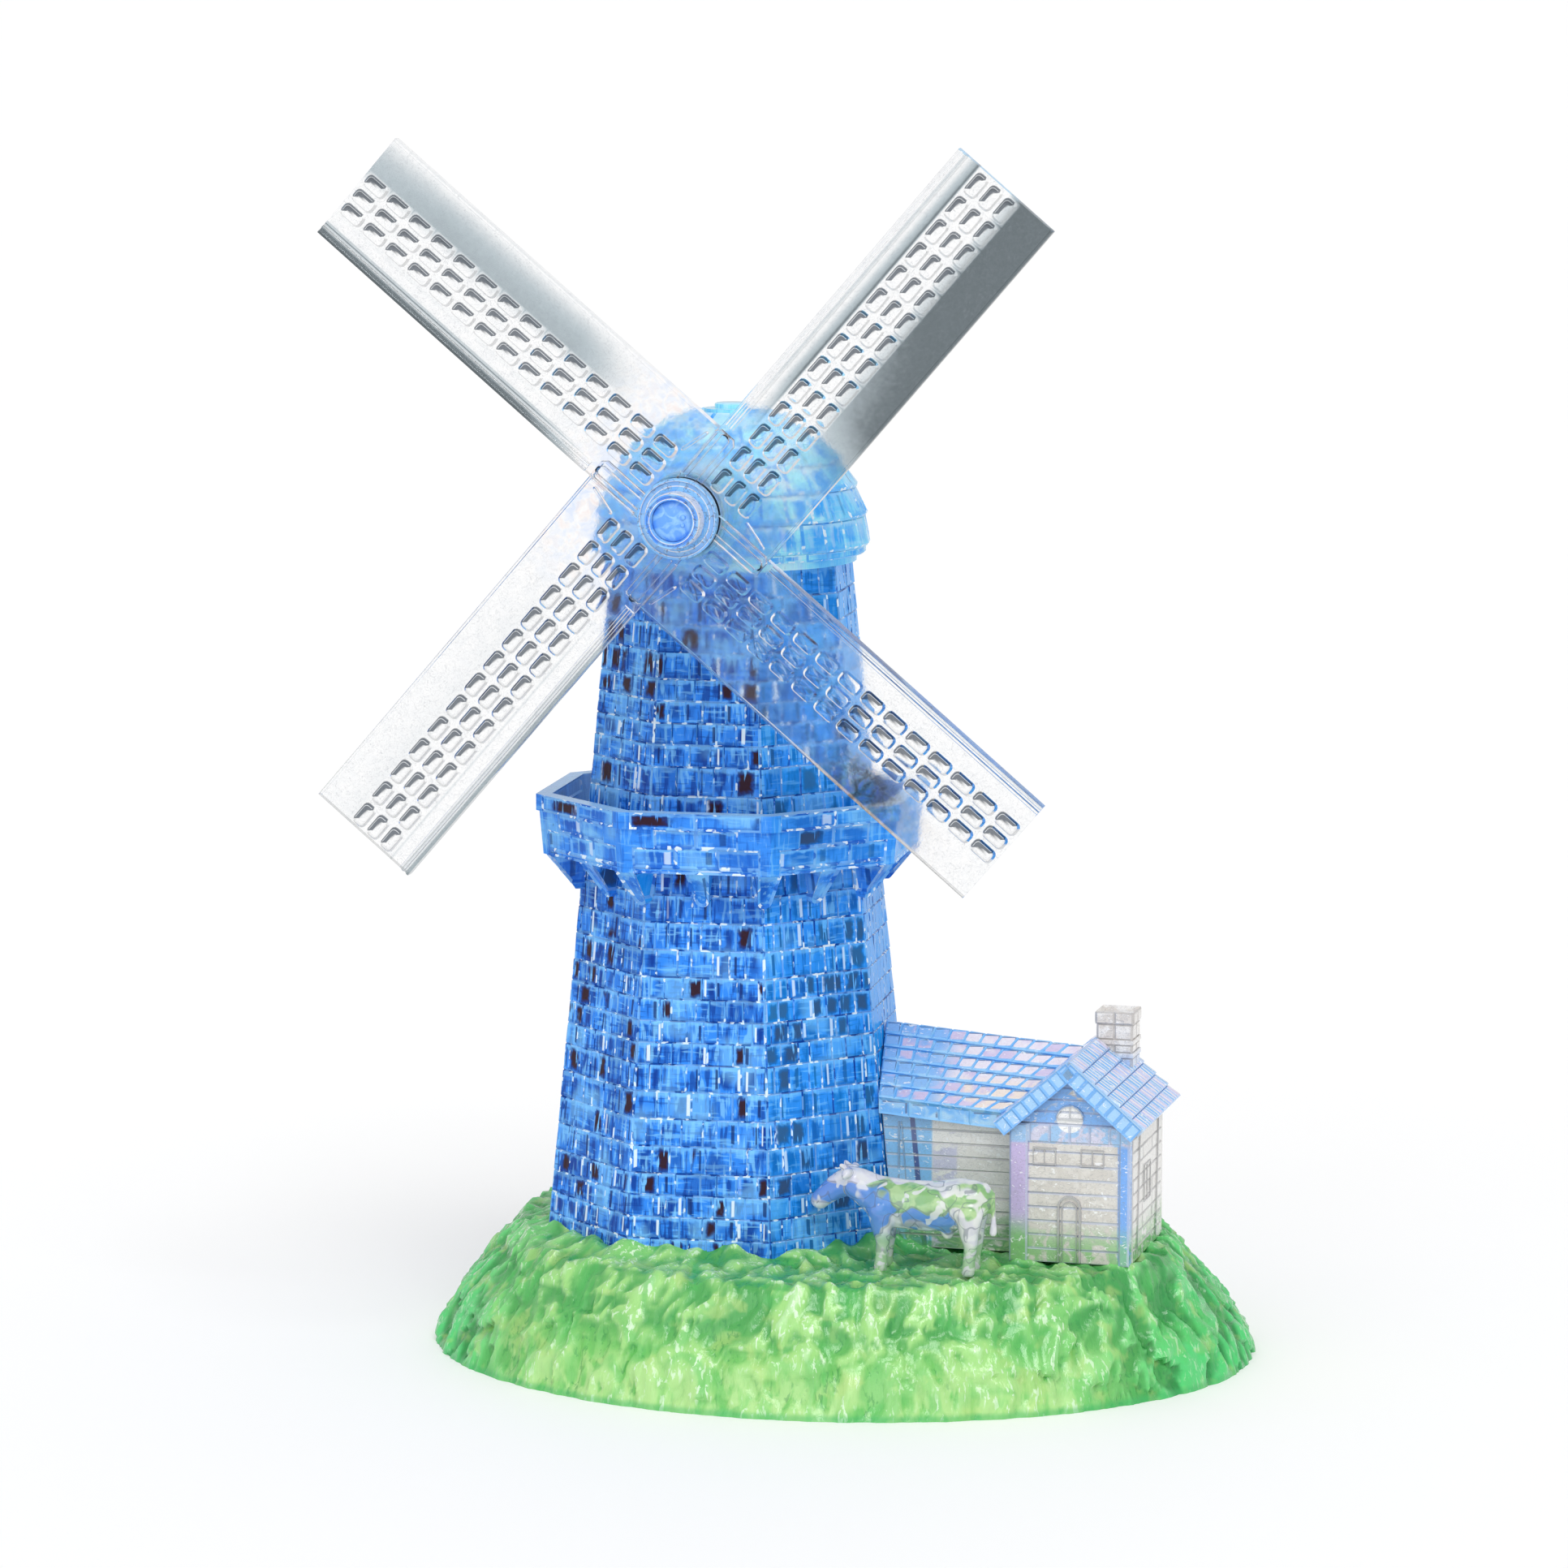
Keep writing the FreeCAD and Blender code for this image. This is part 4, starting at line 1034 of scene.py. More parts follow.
hub_point = Vector(frame["joints"][0]["pos_m"])
hub_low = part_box("hub")[0]
housing_low, housing_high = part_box("shaft_housing")
SAIL_ANGLE = math.radians(49.2)
SAIL_HALF_T = 0.9 * MM
SAIL_LEAD = -4.1
SAIL_TRAIL = 13.9
SAIL_START = 4.15
SAIL_REACH = 67.3
PAD_ALONG = 4.35
PAD_ACROSS = 2.7
PAD_FIRST = 6.2
PAD_ROWS = 14
PAD_HIGH = 0.55
LATTICE = (-0.1, 8.0)
# How dark the painted reflection is on each line of the lead rib, by millimetres across, for each of the four
# sails.
SAIL_BANDS = {
    -4.1: (0.1, 0.95, 0.6, 0.2), -3.6: (0.1, 0.95, 0.6, 0.2), -3.2: (0.0, 0.8, 0.1, 0.0),
    -2.75: (0.3, 0.05, 0.3, 0.1), -2.3: (0.1, 0.7, 0.1, 0.0), -2.1: (0.1, 0.1, 0.0, 0.0),
    -0.7: (0.6, 0.0, 0.0, 0.0), -0.4: (0.95, 0.15, 0.25, 0.1),
}
SAIL_LINES = [SAIL_LEAD, -3.6, -3.2, -2.75, -2.3, -2.1, -0.7, -0.4, -0.1, 2.6, 5.3, 8.0, 9.5, 11.0, 12.5,
              13.45, SAIL_TRAIL]
SAIL_RAISED = {0: 0.7, 1: 0.3, 2: 0.7, 3: 0.3, 15: 0.22}
# Rings of each pad from its foot up: half its length, half its width, corner radius, height, and how dark the
# painted shade on the rim is there.
PAD_RINGS = [(1.95, 1.12, 0.75, 0.0, 0.3), (1.6, 0.86, 0.55, PAD_HIGH, 1.2),
             (1.1, 0.38, 0.3, PAD_HIGH * 0.8, 0.7)]


def on_axis(radius, y, turn):
    """Place a lathe point about the windshaft axis."""
    return Vector((hub_point.x + radius * math.cos(turn), y, hub_point.z + radius * math.sin(turn)))


def turned(bm, profile, steps):
    """Add a ring about the windshaft from a profile of (radius in millimetres, y)."""
    lathe(bm, [(radius * MM, y) for radius, y in profile], steps, on_axis)


def sail_place(number, along, across, height):
    """Return a point of a sail from millimetres along, across and forward of the sail plane."""
    angle = SAIL_ANGLE + number * math.pi / 2
    x = along * math.cos(angle) + across * math.sin(angle)
    z = along * math.sin(angle) - across * math.cos(angle)
    return hub_point + Vector((x * MM, -height * MM, z * MM))


def reflection_grey(number, along, across):
    """Return how dark the painted reflection on a sail is at a place, from 0 to 1."""
    reach = (along - SAIL_START) / (SAIL_REACH - SAIL_START)
    strip = (across - LATTICE[1]) / (SAIL_TRAIL - LATTICE[1])
    away = clamp((along - 15) / 12)
    if strip < 0:
        return away * SAIL_BANDS.get(across, (0.0, 0.0, 0.0, 0.0))[number]
    grey_share = min(1.0, 0.2 + 1.1 * reach + 0.5 * strip * (1 - reach))
    shares = (grey_share, 0.56 * (1 - strip ** 2) * (1 - max(0.0, reach - 0.8)), 0.12 * (1 - strip), 0.0)
    return away * shares[number]


def rounded_loop(centre_u, centre_v, half_u, half_v, radius):
    """Return the outline of a rounded rectangle in four corner arcs, each as (u, v, outward angle)."""
    corners = [(-1, -1, 180), (1, -1, 270), (1, 1, 0), (-1, 1, 90)]
    arcs = []
    for side_u, side_v, turn in corners:
        arc = []
        for k in range(4):
            angle = math.radians(turn + 30 * k)
            u = centre_u + side_u * (half_u - radius) + radius * math.cos(angle)
            v = centre_v + side_v * (half_v - radius) + radius * math.sin(angle)
            arc.append((u, v, angle))
        arcs.append(arc)
    return arcs


def pad(bm, corners, number, u0, v0, marks):
    """Add one raised lattice pad inside a cell, between the cell's four corner vertices."""
    centre_u = u0 + PAD_ALONG / 2
    centre_v = v0 + PAD_ACROSS / 2
    loops = []
    shown = 0.3 if number == 3 and u0 < 36 else 1.0
    outline = 0.3 if number > 1 else 0.0
    for half_u, half_v, radius, height, rim_shade in PAD_RINGS:
        loop = []
        for arc in rounded_loop(centre_u, centre_v, half_u, half_v, radius):
            for u, v, outward in arc:
                vertex = bm.verts.new(sail_place(number, u, v, SAIL_HALF_T / MM + height))
                # Painted shade on the rim, darkest on the pad's upper side, with a faint outline all round on
                # sails 3 and 4, weaker on the inner pads of sail 4.
                upward = math.sin(SAIL_ANGLE + number * math.pi / 2 - outward)
                vertex[marks["rim"]] = max(outline, min(1.0, 2.6 * upward - 0.7)) * rim_shade * shown
                vertex[marks["along"]] = u
                loop.append(vertex)
        loops.append(loop)
    first = loops[0]
    for c in range(4):
        for k in range(3):
            bm.faces.new([corners[c], first[4 * c + k + 1], first[4 * c + k]])
        d = (c + 1) % 4
        bm.faces.new([corners[c], corners[d], first[4 * d], first[4 * c + 3]])
    for lower, upper in zip(loops, loops[1:]):
        bridge(bm, lower, upper)
    bm.faces.new(loops[-1])


def close_blade(bm, front, back):
    """Join the front and back vertices of a sail's blade round its four edges."""
    last = len(front) - 1
    columns = len(front[0]) - 1
    for i in range(last):
        bm.faces.new([front[i][0], back[i][0], back[i + 1][0], front[i + 1][0]])
        bm.faces.new([front[i + 1][columns], back[i + 1][columns], back[i][columns], front[i][columns]])
    for j in range(columns):
        bm.faces.new([front[0][j + 1], back[0][j + 1], back[0][j], front[0][j]])
        bm.faces.new([front[last][j], back[last][j], back[last][j + 1], front[last][j + 1]])


def sail(number, material):
    """Make one sail: blade, lead rib, lattice of rounded pads and blank strip with a thin lip."""
    lines_u = [SAIL_START] + [PAD_FIRST + PAD_ALONG * i for i in range(PAD_ROWS + 1)] + [SAIL_REACH]
    bm = bmesh.new()
    marks = {name: bm.verts.layers.float.new(name) for name in ("reflection_grey", "rim", "along", "marble")}

    def vertex(u, v, height):
        made = bm.verts.new(sail_place(number, u, v, height))
        # How dark the painted reflection is at this vertex.
        made[marks["reflection_grey"]] = reflection_grey(number, u, v)
        made[marks["along"]] = u
        if number == 3 and v > LATTICE[1]:
            made[marks["marble"]] = math.exp(-((u - 46) / 7) ** 2)
        return made

    thick = SAIL_HALF_T / MM
    front = [[vertex(u, v, thick) for v in SAIL_LINES] for u in lines_u]
    back = [[vertex(u, v, -thick) for v in SAIL_LINES] for u in lines_u]
    strips = {}
    for i in range(len(lines_u) - 1):
        for j in range(len(SAIL_LINES) - 1):
            ring = [front[i][j], front[i + 1][j], front[i + 1][j + 1], front[i][j + 1]]
            bm.faces.new([back[i][j], back[i][j + 1], back[i + 1][j + 1], back[i + 1][j]])
            if LATTICE[0] <= SAIL_LINES[j] < LATTICE[1] and 0 < i <= PAD_ROWS:
                pad(bm, ring, number, lines_u[i], SAIL_LINES[j], marks)
            else:
                strips.setdefault(j, []).append(bm.faces.new(ring))
    close_blade(bm, front, back)
    bmesh.ops.recalc_face_normals(bm, faces=bm.faces)
    for j, height in SAIL_RAISED.items():
        outer = [face for face in strips[j] if (face.calc_center_median() - hub_point).length > 14 * MM]
        bmesh.ops.inset_region(bm, faces=outer, thickness=0.07 * MM, depth=height * MM,
                               use_boundary=True, use_even_offset=True)
    name = "sail_%d" % (number + 1)
    return add_piece(name + "_lattice", bm, material, "rotor", [name], smooth=28)


def hub_piece(material):
    """Make the hub: a nose with a double ring and a disc with a rim."""
    bm = bmesh.new()
    nose = hub_low.y
    back = hub_point.y + SAIL_HALF_T
    disc_back = hub_point.y - SAIL_HALF_T
    profile = [(2.0, back), (4.1, back), (4.1, disc_back), (5.9, disc_back), (5.9, disc_back - 1.5 * MM),
               (5.55, disc_back - 1.5 * MM), (5.4, disc_back - 1.1 * MM), (4.7, disc_back - 1.1 * MM),
               (4.35, disc_back - 1.4 * MM), (4.1, disc_back - 1.9 * MM), (4.1, nose + 0.35 * MM),
               (3.95, nose), (3.75, nose), (3.62, nose + 0.35 * MM), (3.45, nose + 0.35 * MM),
               (3.32, nose), (3.15, nose), (3.02, nose + 0.2 * MM), (3.02, nose + 1.9 * MM),
               (2.0, nose + 1.9 * MM)]
    turned(bm, profile, 96)
    return add_piece("hub_nose", bm, material, "rotor", ["hub"], smooth=35)


def hub_arms(material):
    """Make the four arms of the hub: hairpin ribs that lie on the roots of the sails."""
    for number in range(4):

        def place(u, v, depth, number=number):
            return sail_place(number, u, v, SAIL_HALF_T / MM - 0.2 - depth)

        bm = bmesh.new()
        for half, width in ((1.6, 0.55), (0.75, 0.3)):
            middle = -2.5
            path = [(5.4, middle - half), (13.2, middle - half), (13.75, middle - half + 0.5),
                    (13.75, middle + half - 0.5), (13.2, middle + half), (5.4, middle + half)]
            moulding(bm, place, path, width, 0.75)
        add_piece("hub_arm_%d" % (number + 1), bm, material, "rotor", [])


def hub_lens(material):
    """Make the lens in the nose, slightly domed, with two small moulding marks."""
    low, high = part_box("hub_cap")
    bm = bmesh.new()
    crown = low.y + 0.1 * MM
    profile = [(0.01, crown), (1.0, crown + 0.03 * MM), (2.0, crown + 0.12 * MM), (2.8, crown + 0.3 * MM),
               (2.98, crown + 0.5 * MM), (2.98, high.y), (0.01, high.y)]
    turned(bm, profile, 64)
    for radius, turn in ((0.42, 0.35), (0.3, -0.35)):
        spot = on_axis(1.7 * MM, crown + 0.08 * MM, turn)
        bmesh.ops.create_icosphere(bm, subdivisions=3, radius=radius * MM, matrix=Matrix.Translation(spot))
    return add_piece("hub_lens", bm, material, "rotor", ["hub_cap"], smooth=40)


def sail_ribs(material):
    """Make the short diagonal rib near the root of each sail."""
    for number in range(4):
        bm = bmesh.new()
        start = Vector((6.2, 7.8))
        end = Vector((4.9, 12.4))
        side = (end - start).normalized().orthogonal() * 0.28
        thick = SAIL_HALF_T / MM
        rings = []
        for share, width, height in ((0, 0.4, 0.3), (0.06, 1, 0.75), (0.94, 1, 0.75), (1, 0.4, 0.3)):
            middle = start.lerp(end, share)
            left = middle + side * width
            right = middle - side * width
            top_x = side.x * (0.55 * width)
            top_y = side.y * (0.55 * width)
            corners = [(left.x, left.y, -0.1), (middle.x + top_x, middle.y + top_y, height),
                       (middle.x - top_x, middle.y - top_y, height), (right.x, right.y, -0.1)]
            rings.append([bm.verts.new(sail_place(number, u, v, thick + rise)) for u, v, rise in corners])
        for near, far in zip(rings, rings[1:]):
            bridge(bm, near, far)
        bm.faces.new(rings[0])
        bm.faces.new(rings[-1])
        add_piece("sail_%d_brace" % (number + 1), bm, material, "rotor", [], smooth=40)


def housing(material):
    """Make the smooth round housing of the windshaft, with a rolled front edge."""
    front = housing_low.y
    root = housing_high.y
    bore = 2.08
    profile = [(bore, front), (5.7, front), (6.1, front + 0.12 * MM), (6.3, front + 0.45 * MM),
               (6.36, front + 1.6 * MM), (6.2, front + 2.0 * MM), (6.3, front + 2.4 * MM)]
    flare = front + 2.4 * MM
    profile += [(6.3 + 0.9 * share, flare + share * (root - flare)) for share in (0.25, 0.5, 0.75, 1)]
    profile.append((bore, root))
    bm = tiled_mesh()
    turned(bm, profile, 96)
    return add_piece("windshaft_housing", bm, material, "mill", ["shaft_housing"], smooth=40)


# ---------------------------------------------------------------- mound

MOUND_AROUND = 900
MOUND_SIDE_ROWS = 28
MOUND_TOP_ROWS = 46
MOUND_INSET = 8.0 * MM
MOUND_SHOULDER = 5.5 * MM
MOUND_SHOULDER_TURN = math.radians(11)
MOUND_CURVE = 1.55
MOUND_WALL = 3.0 * MM
TUFT = 2.2 * MM
LEAVES = 62
LEAF_W = 5.6
LEAF_H = 4.2
mound_x = (mound_low.x + mound_high.x) / 2
mound_half = ((mound_high.x - mound_low.x) / 2, (mound_high.y - mound_low.y) / 2)


def ridge(place):
    """Return ridged noise, 1 along thin winding crests and 0 in the hollows between them."""
    return max(0.0, 1 - abs(noise.noise(place)) * 2.6)


def drift(place):
    """Return smooth vector noise, built from number noise because that repeats exactly from run to run."""
    return Vector([noise.noise(place + Vector((shift, -shift, 2 * shift))) for shift in (9.3, 0.0, 6.3)])


def mound_point(turn, row):
    """Return a place on the mound and its outward direction. Rows run up the side, then in over the top."""
    angle = 2 * math.pi * turn / MOUND_AROUND
    rise = min(1.0, row / MOUND_SIDE_ROWS)
    shoulder = MOUND_SHOULDER * math.cos(angle - MOUND_SHOULDER_TURN) ** 8
    inset = (MOUND_INSET + shoulder) * rise ** MOUND_CURVE
    share = 1.0
    if row > MOUND_SIDE_ROWS:
        share = 1 - ((row - MOUND_SIDE_ROWS) / MOUND_TOP_ROWS) ** 1.15
    lean = rise ** 2.2
    x = (mound_half[0] - inset) * share * math.cos(angle)
    y = (mound_half[1] - inset) * share * math.sin(angle)
    out = Vector((math.cos(angle) * (1 - lean), math.sin(angle) * (1 - lean), lean)).normalized()
    return Vector((mound_x + x, y, ground * rise)), out


def octagon_gap(point):
    """Return how far a point stands outside the foot of the tower."""
    x = point.x - axis_x
    y = point.y - axis_y
    reach = max(x * math.cos(math.radians(45 * k)) + y * math.sin(math.radians(45 * k)) for k in range(8))
    return reach - radius_low * APOTHEM


def leaf_relief(around, up):
    """Return the height of a coat of pointed tufts. around counts tufts and up is in millimetres."""
    best = 0.0
    first_row = math.floor(up / LEAF_H)
    for row in (first_row - 1, first_row):
        shift = noise.cell(Vector((row + 0.5, 3.5, 0.5)))
        rise = (up / LEAF_H - row) / 2
        column = math.floor(around + shift)
        for place in (column - 1, column, column + 1):
            jitter = noise.cell(Vector((place % LEAVES + 0.5, row + 0.5, 7.5))) - 0.5
            centre = place + 0.5 - shift + 0.5 * jitter + 0.9 * jitter * rise
            across = abs(around - centre) / (0.72 * (1 - rise) ** 0.6 + 0.01)
            if across < 1:
                best = max(best, (1 - across ** 2) * (1 - 0.4 * rise) * (0.8 + 0.4 * jitter))
    return best


def grass_relief(point, turn, row):
    """Return the height of the grass relief at a place, from 0 to 1: tufts on the sides and swirls on top."""
    spot = point / MM
    bend = drift(spot / 9.0) * 3.6 + drift(spot / 3.5) * 0.9
    inward = max(0, row - MOUND_SIDE_ROWS) / MOUND_TOP_ROWS * 45
    around = LEAVES * turn / MOUND_AROUND + (bend.x + bend.y) / LEAF_W
    leaf = leaf_relief(around, spot.z + inward + 1.4 * bend.z)
    bent = spot + bend
    swirl = 0.5 + 0.9 * noise.noise(Vector((bent.x / 3.4, bent.y / 3.4, bent.z / 9)))
    crease = ridge(Vector((bent.x / 2.4 + 9, bent.y / 2.4, bent.z / 8)))
    side = clamp((abs(spot.x - mound_x / MM) - 28) / 24)
    share = 0.3 + 0.45 * side if row <= MOUND_SIDE_ROWS else 0.3
    return clamp(share * leaf + (0.8 - share) * clamp(swirl) + 0.26 * crease)


def foot_wave(point):
    """Return how far the grass laps up the tower's foot at a place on top of the mound."""
    gap = max(octagon_gap(point), 0.0) / MM
    around = Vector((point.x, point.y, 0)) / MM
    hump = 0.5 + 0.9 * noise.noise(around / 4.6)
    return clamp(hump, 0.35) * math.exp(-(gap / 3.2) ** 2)


def mound_rings(bm, relief_layer):
    """Add the rings of vertices of the mound's outer skin, from the rim to the middle of the top."""
    rings = []
    for row in range(MOUND_SIDE_ROWS + MOUND_TOP_ROWS):
        ring = []
        for turn in range(MOUND_AROUND):
            point, out = mound_point(turn, row)
            relief = grass_relief(point, turn, row)
            fade = min(1.0, 0.35 + point.z / (3 * MM))
            if row > MOUND_SIDE_ROWS:
                fade = min(1.0, 0.35 + max(0.0, octagon_gap(point)) / (5 * MM))
            level = 0.8 if row <= MOUND_SIDE_ROWS else 0.55
            place = point + out * TUFT * (relief - level) * fade
            if row > MOUND_SIDE_ROWS:
                place.z += 2.9 * MM * foot_wave(point)
            place.z = max(0.0, place.z) if row else 0.0
            vertex = bm.verts.new(place)
            vertex[relief_layer] = relief
            ring.append(vertex)
        rings.append(ring)
    return rings


def mound_hollow(bm):
    """Add the rings of vertices of the mound's hollow underside, from the rim up."""
    rings = []
    for row in (0, MOUND_SIDE_ROWS // 2, MOUND_SIDE_ROWS):
        ring = []
        for turn in range(MOUND_AROUND):
            point, _ = mound_point(turn, row)
            flat = Vector((point.x - mound_x, point.y, 0))
            inward = flat * (1 - MOUND_WALL / flat.length)
            height = point.z - MOUND_WALL * row / MOUND_SIDE_ROWS
            ring.append(bm.verts.new(Vector((mound_x + inward.x, inward.y, height))))
        rings.append(ring)
    return rings


def mound(material):
    """Make the hollow grass mound, with tufts in relief and a wavy edge round the tower's foot."""
    bm = bmesh.new()
    relief_layer = bm.verts.layers.float.new("relief")
    outer = mound_rings(bm, relief_layer)
    inner = mound_hollow(bm)
    rings = list(reversed(inner)) + outer
    for lower, upper in zip(rings, rings[1:]):
        bridge(bm, lower, upper)
    bm.faces.new(rings[-1])
    bm.faces.new(list(reversed(rings[0])))
    return add_piece("grass_mound", bm, material, "mill", ["base_mound"], smooth=60)


# ---------------------------------------------------------------- cottage

COTTAGE_FROM_MOUND = (29.1, -20.4)
COTTAGE_TURN = math.radians(-4.0)
WALL_T = 1.5
ROOF_T = 2.0
WING_W = 18.3
WING_D = 24.4
WING_RIDGE_Z = 31.1
WING_EAVE_Z = 21.2
WING_EAVE_OUT = 2.2
WING_MID = WING_W / 2
WING_SLOPE = (WING_RIDGE_Z - WING_EAVE_Z) / (WING_MID + WING_EAVE_OUT)
WING_WALL_TOP = WING_RIDGE_Z - WING_SLOPE * WING_MID - ROOF_T
MAIN_FRONT_Y = 5.2
MAIN_EAVE_OUT = 1.9
MAIN_RIDGE_Z = 30.4
MAIN_RISE = 9.5
MAIN_FALL = 0.0787
MAIN_MID_Y = (MAIN_FRONT_Y + WING_D) / 2
MAIN_HALF_D = MAIN_MID_Y - MAIN_FRONT_Y + MAIN_EAVE_OUT
BOARD_H = 2.1
CELL_W = 2.4
ROOF_LIFT = 0.3
ROOF_STEPS = 6
SILL_UP = 0.8
WINDOW_R = 2.05
BOARD_FINISH = (0.2, 0.18, 0.02)
cottage_origin = Vector((mound_x + COTTAGE_FROM_MOUND[0] * MM, COTTAGE_FROM_MOUND[1] * MM, ground))
cottage_right = Vector((math.cos(COTTAGE_TURN), math.sin(COTTAGE_TURN), 0))
cottage_back = Vector((-math.sin(COTTAGE_TURN), math.cos(COTTAGE_TURN), 0))


def beside(origin, x, y, z):
    """Return a point from millimetres right, back and up from an origin, along the cottage's walls."""
    return origin + (cottage_right * x + cottage_back * y + Vector((0, 0, z))) * MM


def cottage_place(x, y, z):
    """Return a point of the cottage from its front left corner."""
    return beside(cottage_origin, x, y, z)


def tower_side_x(y, z):
    """Return where the tower's side facet stands in the cottage's own frame."""
    facet_x = axis_x + tower_r(ground + z * MM) * APOTHEM + 0.35 * MM
    return ((facet_x - cottage_origin.x) / MM - cottage_back.x * y) / cottage_right.x


def wing_roof_z(x):
    """Return the height of the wing roof's upper face."""
    return WING_RIDGE_Z - WING_SLOPE * abs(x - WING_MID)


def main_roof_z(x, y):
    """Return the height of the main roof's upper face."""
    return MAIN_RIDGE_Z - MAIN_FALL * (x - WING_MID) - MAIN_RISE * abs(y - MAIN_MID_Y) / MAIN_HALF_D


def boards(bm, place, low, high, limits, pitch, rng):
    """Add horizontal boards up a wall. limits gives the wall's two ends at a height."""
    heights = evenly(low, high, BOARD_H)
    for levels in zip(heights, heights[1:]):
        start, end = limits(levels[0])
        count = max(1, round((end - start) / pitch))
        joints = [spaced(*limits(z), count) for z in levels]
        course(bm, place, joints, levels, ((0.0, 0.0), (WALL_T, WALL_T)), BOARD_FINISH, rng)


def half_circle(centre, foot, radius):
    """Return points over a half circle, from left to right."""
    return [(centre - radius * math.cos(math.radians(15 * k)), foot + radius * math.sin(math.radians(15 * k)))
            for k in range(13)]


def arch_path(centre, foot, half, height):
    """Return the path of a round-headed opening, from its left foot over to its right foot."""
    head = half_circle(centre, foot + height - half, half)
    return [(centre - half, foot)] + head + [(centre + half, foot)]


def window_frame(bm, place, x0, x1, z0, z1):
    """Add a window frame with a cross bar to a wall."""
    moulding(bm, place, [(x0, z0), (x1, z0), (x1, z1), (x0, z1)], 0.45, 0.35, closed=True)
    moulding(bm, place, [((x0 + x1) / 2, z0), ((x0 + x1) / 2, z1)], 0.3, 0.3)


def gable_limits(z):
    """Return the two ends of a gable wall at a height."""
    if z <= WING_WALL_TOP:
        return 0.0, WING_W
    inset = (z - WING_WALL_TOP) / WING_SLOPE
    return inset, WING_W - inset


def wing_front(material):
    """Make the front gable wall with its posts, lintel, door and windows."""
    bm = tiled_mesh()
    rng = random.Random(5)

    def place(x, z, depth):
        return cottage_place(x, depth, z)

    boards(bm, place, 0.0, WING_WALL_TOP, gable_limits, 30, rng)
    boards(bm, place, WING_WALL_TOP, WING_RIDGE_Z - ROOF_T - 0.5, gable_limits, 40, rng)
    for post in ([0.0, 2.8], [WING_W - 1.6, WING_W]):
        course(bm, place, (post, post), (0.0, WING_WALL_TOP), ((-0.4, -0.4), (0.1, 0.1)),
               (0.3, 0.25, 0.0), rng)
    beam = evenly(0.0, WING_W, 3.0)
    course(bm, place, (beam, beam), (WING_WALL_TOP - 2.8, WING_WALL_TOP), ((-0.25, -0.25), (0.1, 0.1)),
           (0.25, 0.2, 0.02), rng)
    moulding(bm, place, arch_path(WING_MID, 0.2, 1.65, 10.0), 0.45, 0.5)
    moulding(bm, place, arch_path(WING_MID, 0.2, 1.1, 9.2), 0.25, 0.4)
    for x in (3.6, 10.9):
        window_frame(bm, place, x, x + 3.4, 15.0, 17.4)
    sill = WING_WALL_TOP + SILL_UP
    moulding(bm, place, half_circle(WING_MID, sill, WINDOW_R), 0.5, 0.45, closed=True)
    moulding(bm, place, [(WING_MID, sill), (WING_MID, sill + 2.0)], 0.3, 0.35)
    return add_piece("cottage_gable", bm, material, "mill", ["wing_front"])


def wing_walls(material):
    """Make the back gable and the two side walls of the wing."""
    rng = random.Random(6)
    bm = tiled_mesh()

    def back(x, z, depth):
        return cottage_place(WING_W - x, WING_D - depth, z)

    boards(bm, back, 0.0, WING_WALL_TOP, gable_limits, 9, rng)
    boards(bm, back, WING_WALL_TOP, WING_RIDGE_Z - ROOF_T - 0.5, gable_limits, 40, rng)
    add_piece("cottage_back_gable", bm, material, "mill", ["wing_back"])

    bm = tiled_mesh()

    def right_side(y, z, depth):
        return cottage_place(WING_W - depth, y, z)

    ends = (WALL_T, WING_D - WALL_T)
    boards(bm, right_side, 0.0, WING_WALL_TOP, lambda z: ends, 8, rng)
    window_frame(bm, right_side, 9.5, 14.0, 8.0, 13.5)
    for y in (4.5, 18.5):
        moulding(bm, right_side, [(y, 1.0), (y + 1.6, WING_WALL_TOP - 1)], 0.5, 0.35)
    add_piece("cottage_right_wall", bm, material, "mill", ["wing_right"])

    bm = tiled_mesh()

    def left_side(y, z, depth):
        return cottage_place(depth, WING_D - y, z)

    boards(bm, left_side, 0.0, WING_WALL_TOP, lambda z: ends, 8, rng)
    add_piece("cottage_left_wall", bm, material, "mill", ["wing_left"])


def wing_roof(side, name, node, material):
    """Make one slope of the wing roof: stepped rows of ribbed tiles and a bargeboard of oval cells."""
    bm = tiled_mesh()
    rng = random.Random(21 + side)
    front_y = -WING_EAVE_OUT
    back_y = WING_D + MAIN_EAVE_OUT
    reach = WING_MID + WING_EAVE_OUT
    joints = evenly(front_y + 1.2, back_y, 2.0)

    def place(y, share, lift):
        x = WING_MID + side * reach * (1 - share)
        rise = Vector((side * WING_SLOPE, 0, 1)).normalized() * lift
        return cottage_place(x + rise.x, y, wing_roof_z(x) + rise.z - ROOF_LIFT)

    def edge(share, lift, depth):
        return place(front_y + depth, share, lift)

    for row in range(ROOF_STEPS):
        shares = (row / ROOF_STEPS, (row + 1) / ROOF_STEPS)
        course(bm, place, (joints, joints), shares, ((ROOF_LIFT, 0), (-1.3, -1.3)), (0.22, 0.2, 0.03), rng)
    cells = evenly(0.02, 0.98, 0.125)
    course(bm, edge, (cells, cells), (-2.3, 0.15), ((0.0, 0.0), (1.15, 1.15)), (0.3, -0.25, 0.0), rng)
    return add_piece(name, bm, material, "mill", [node])


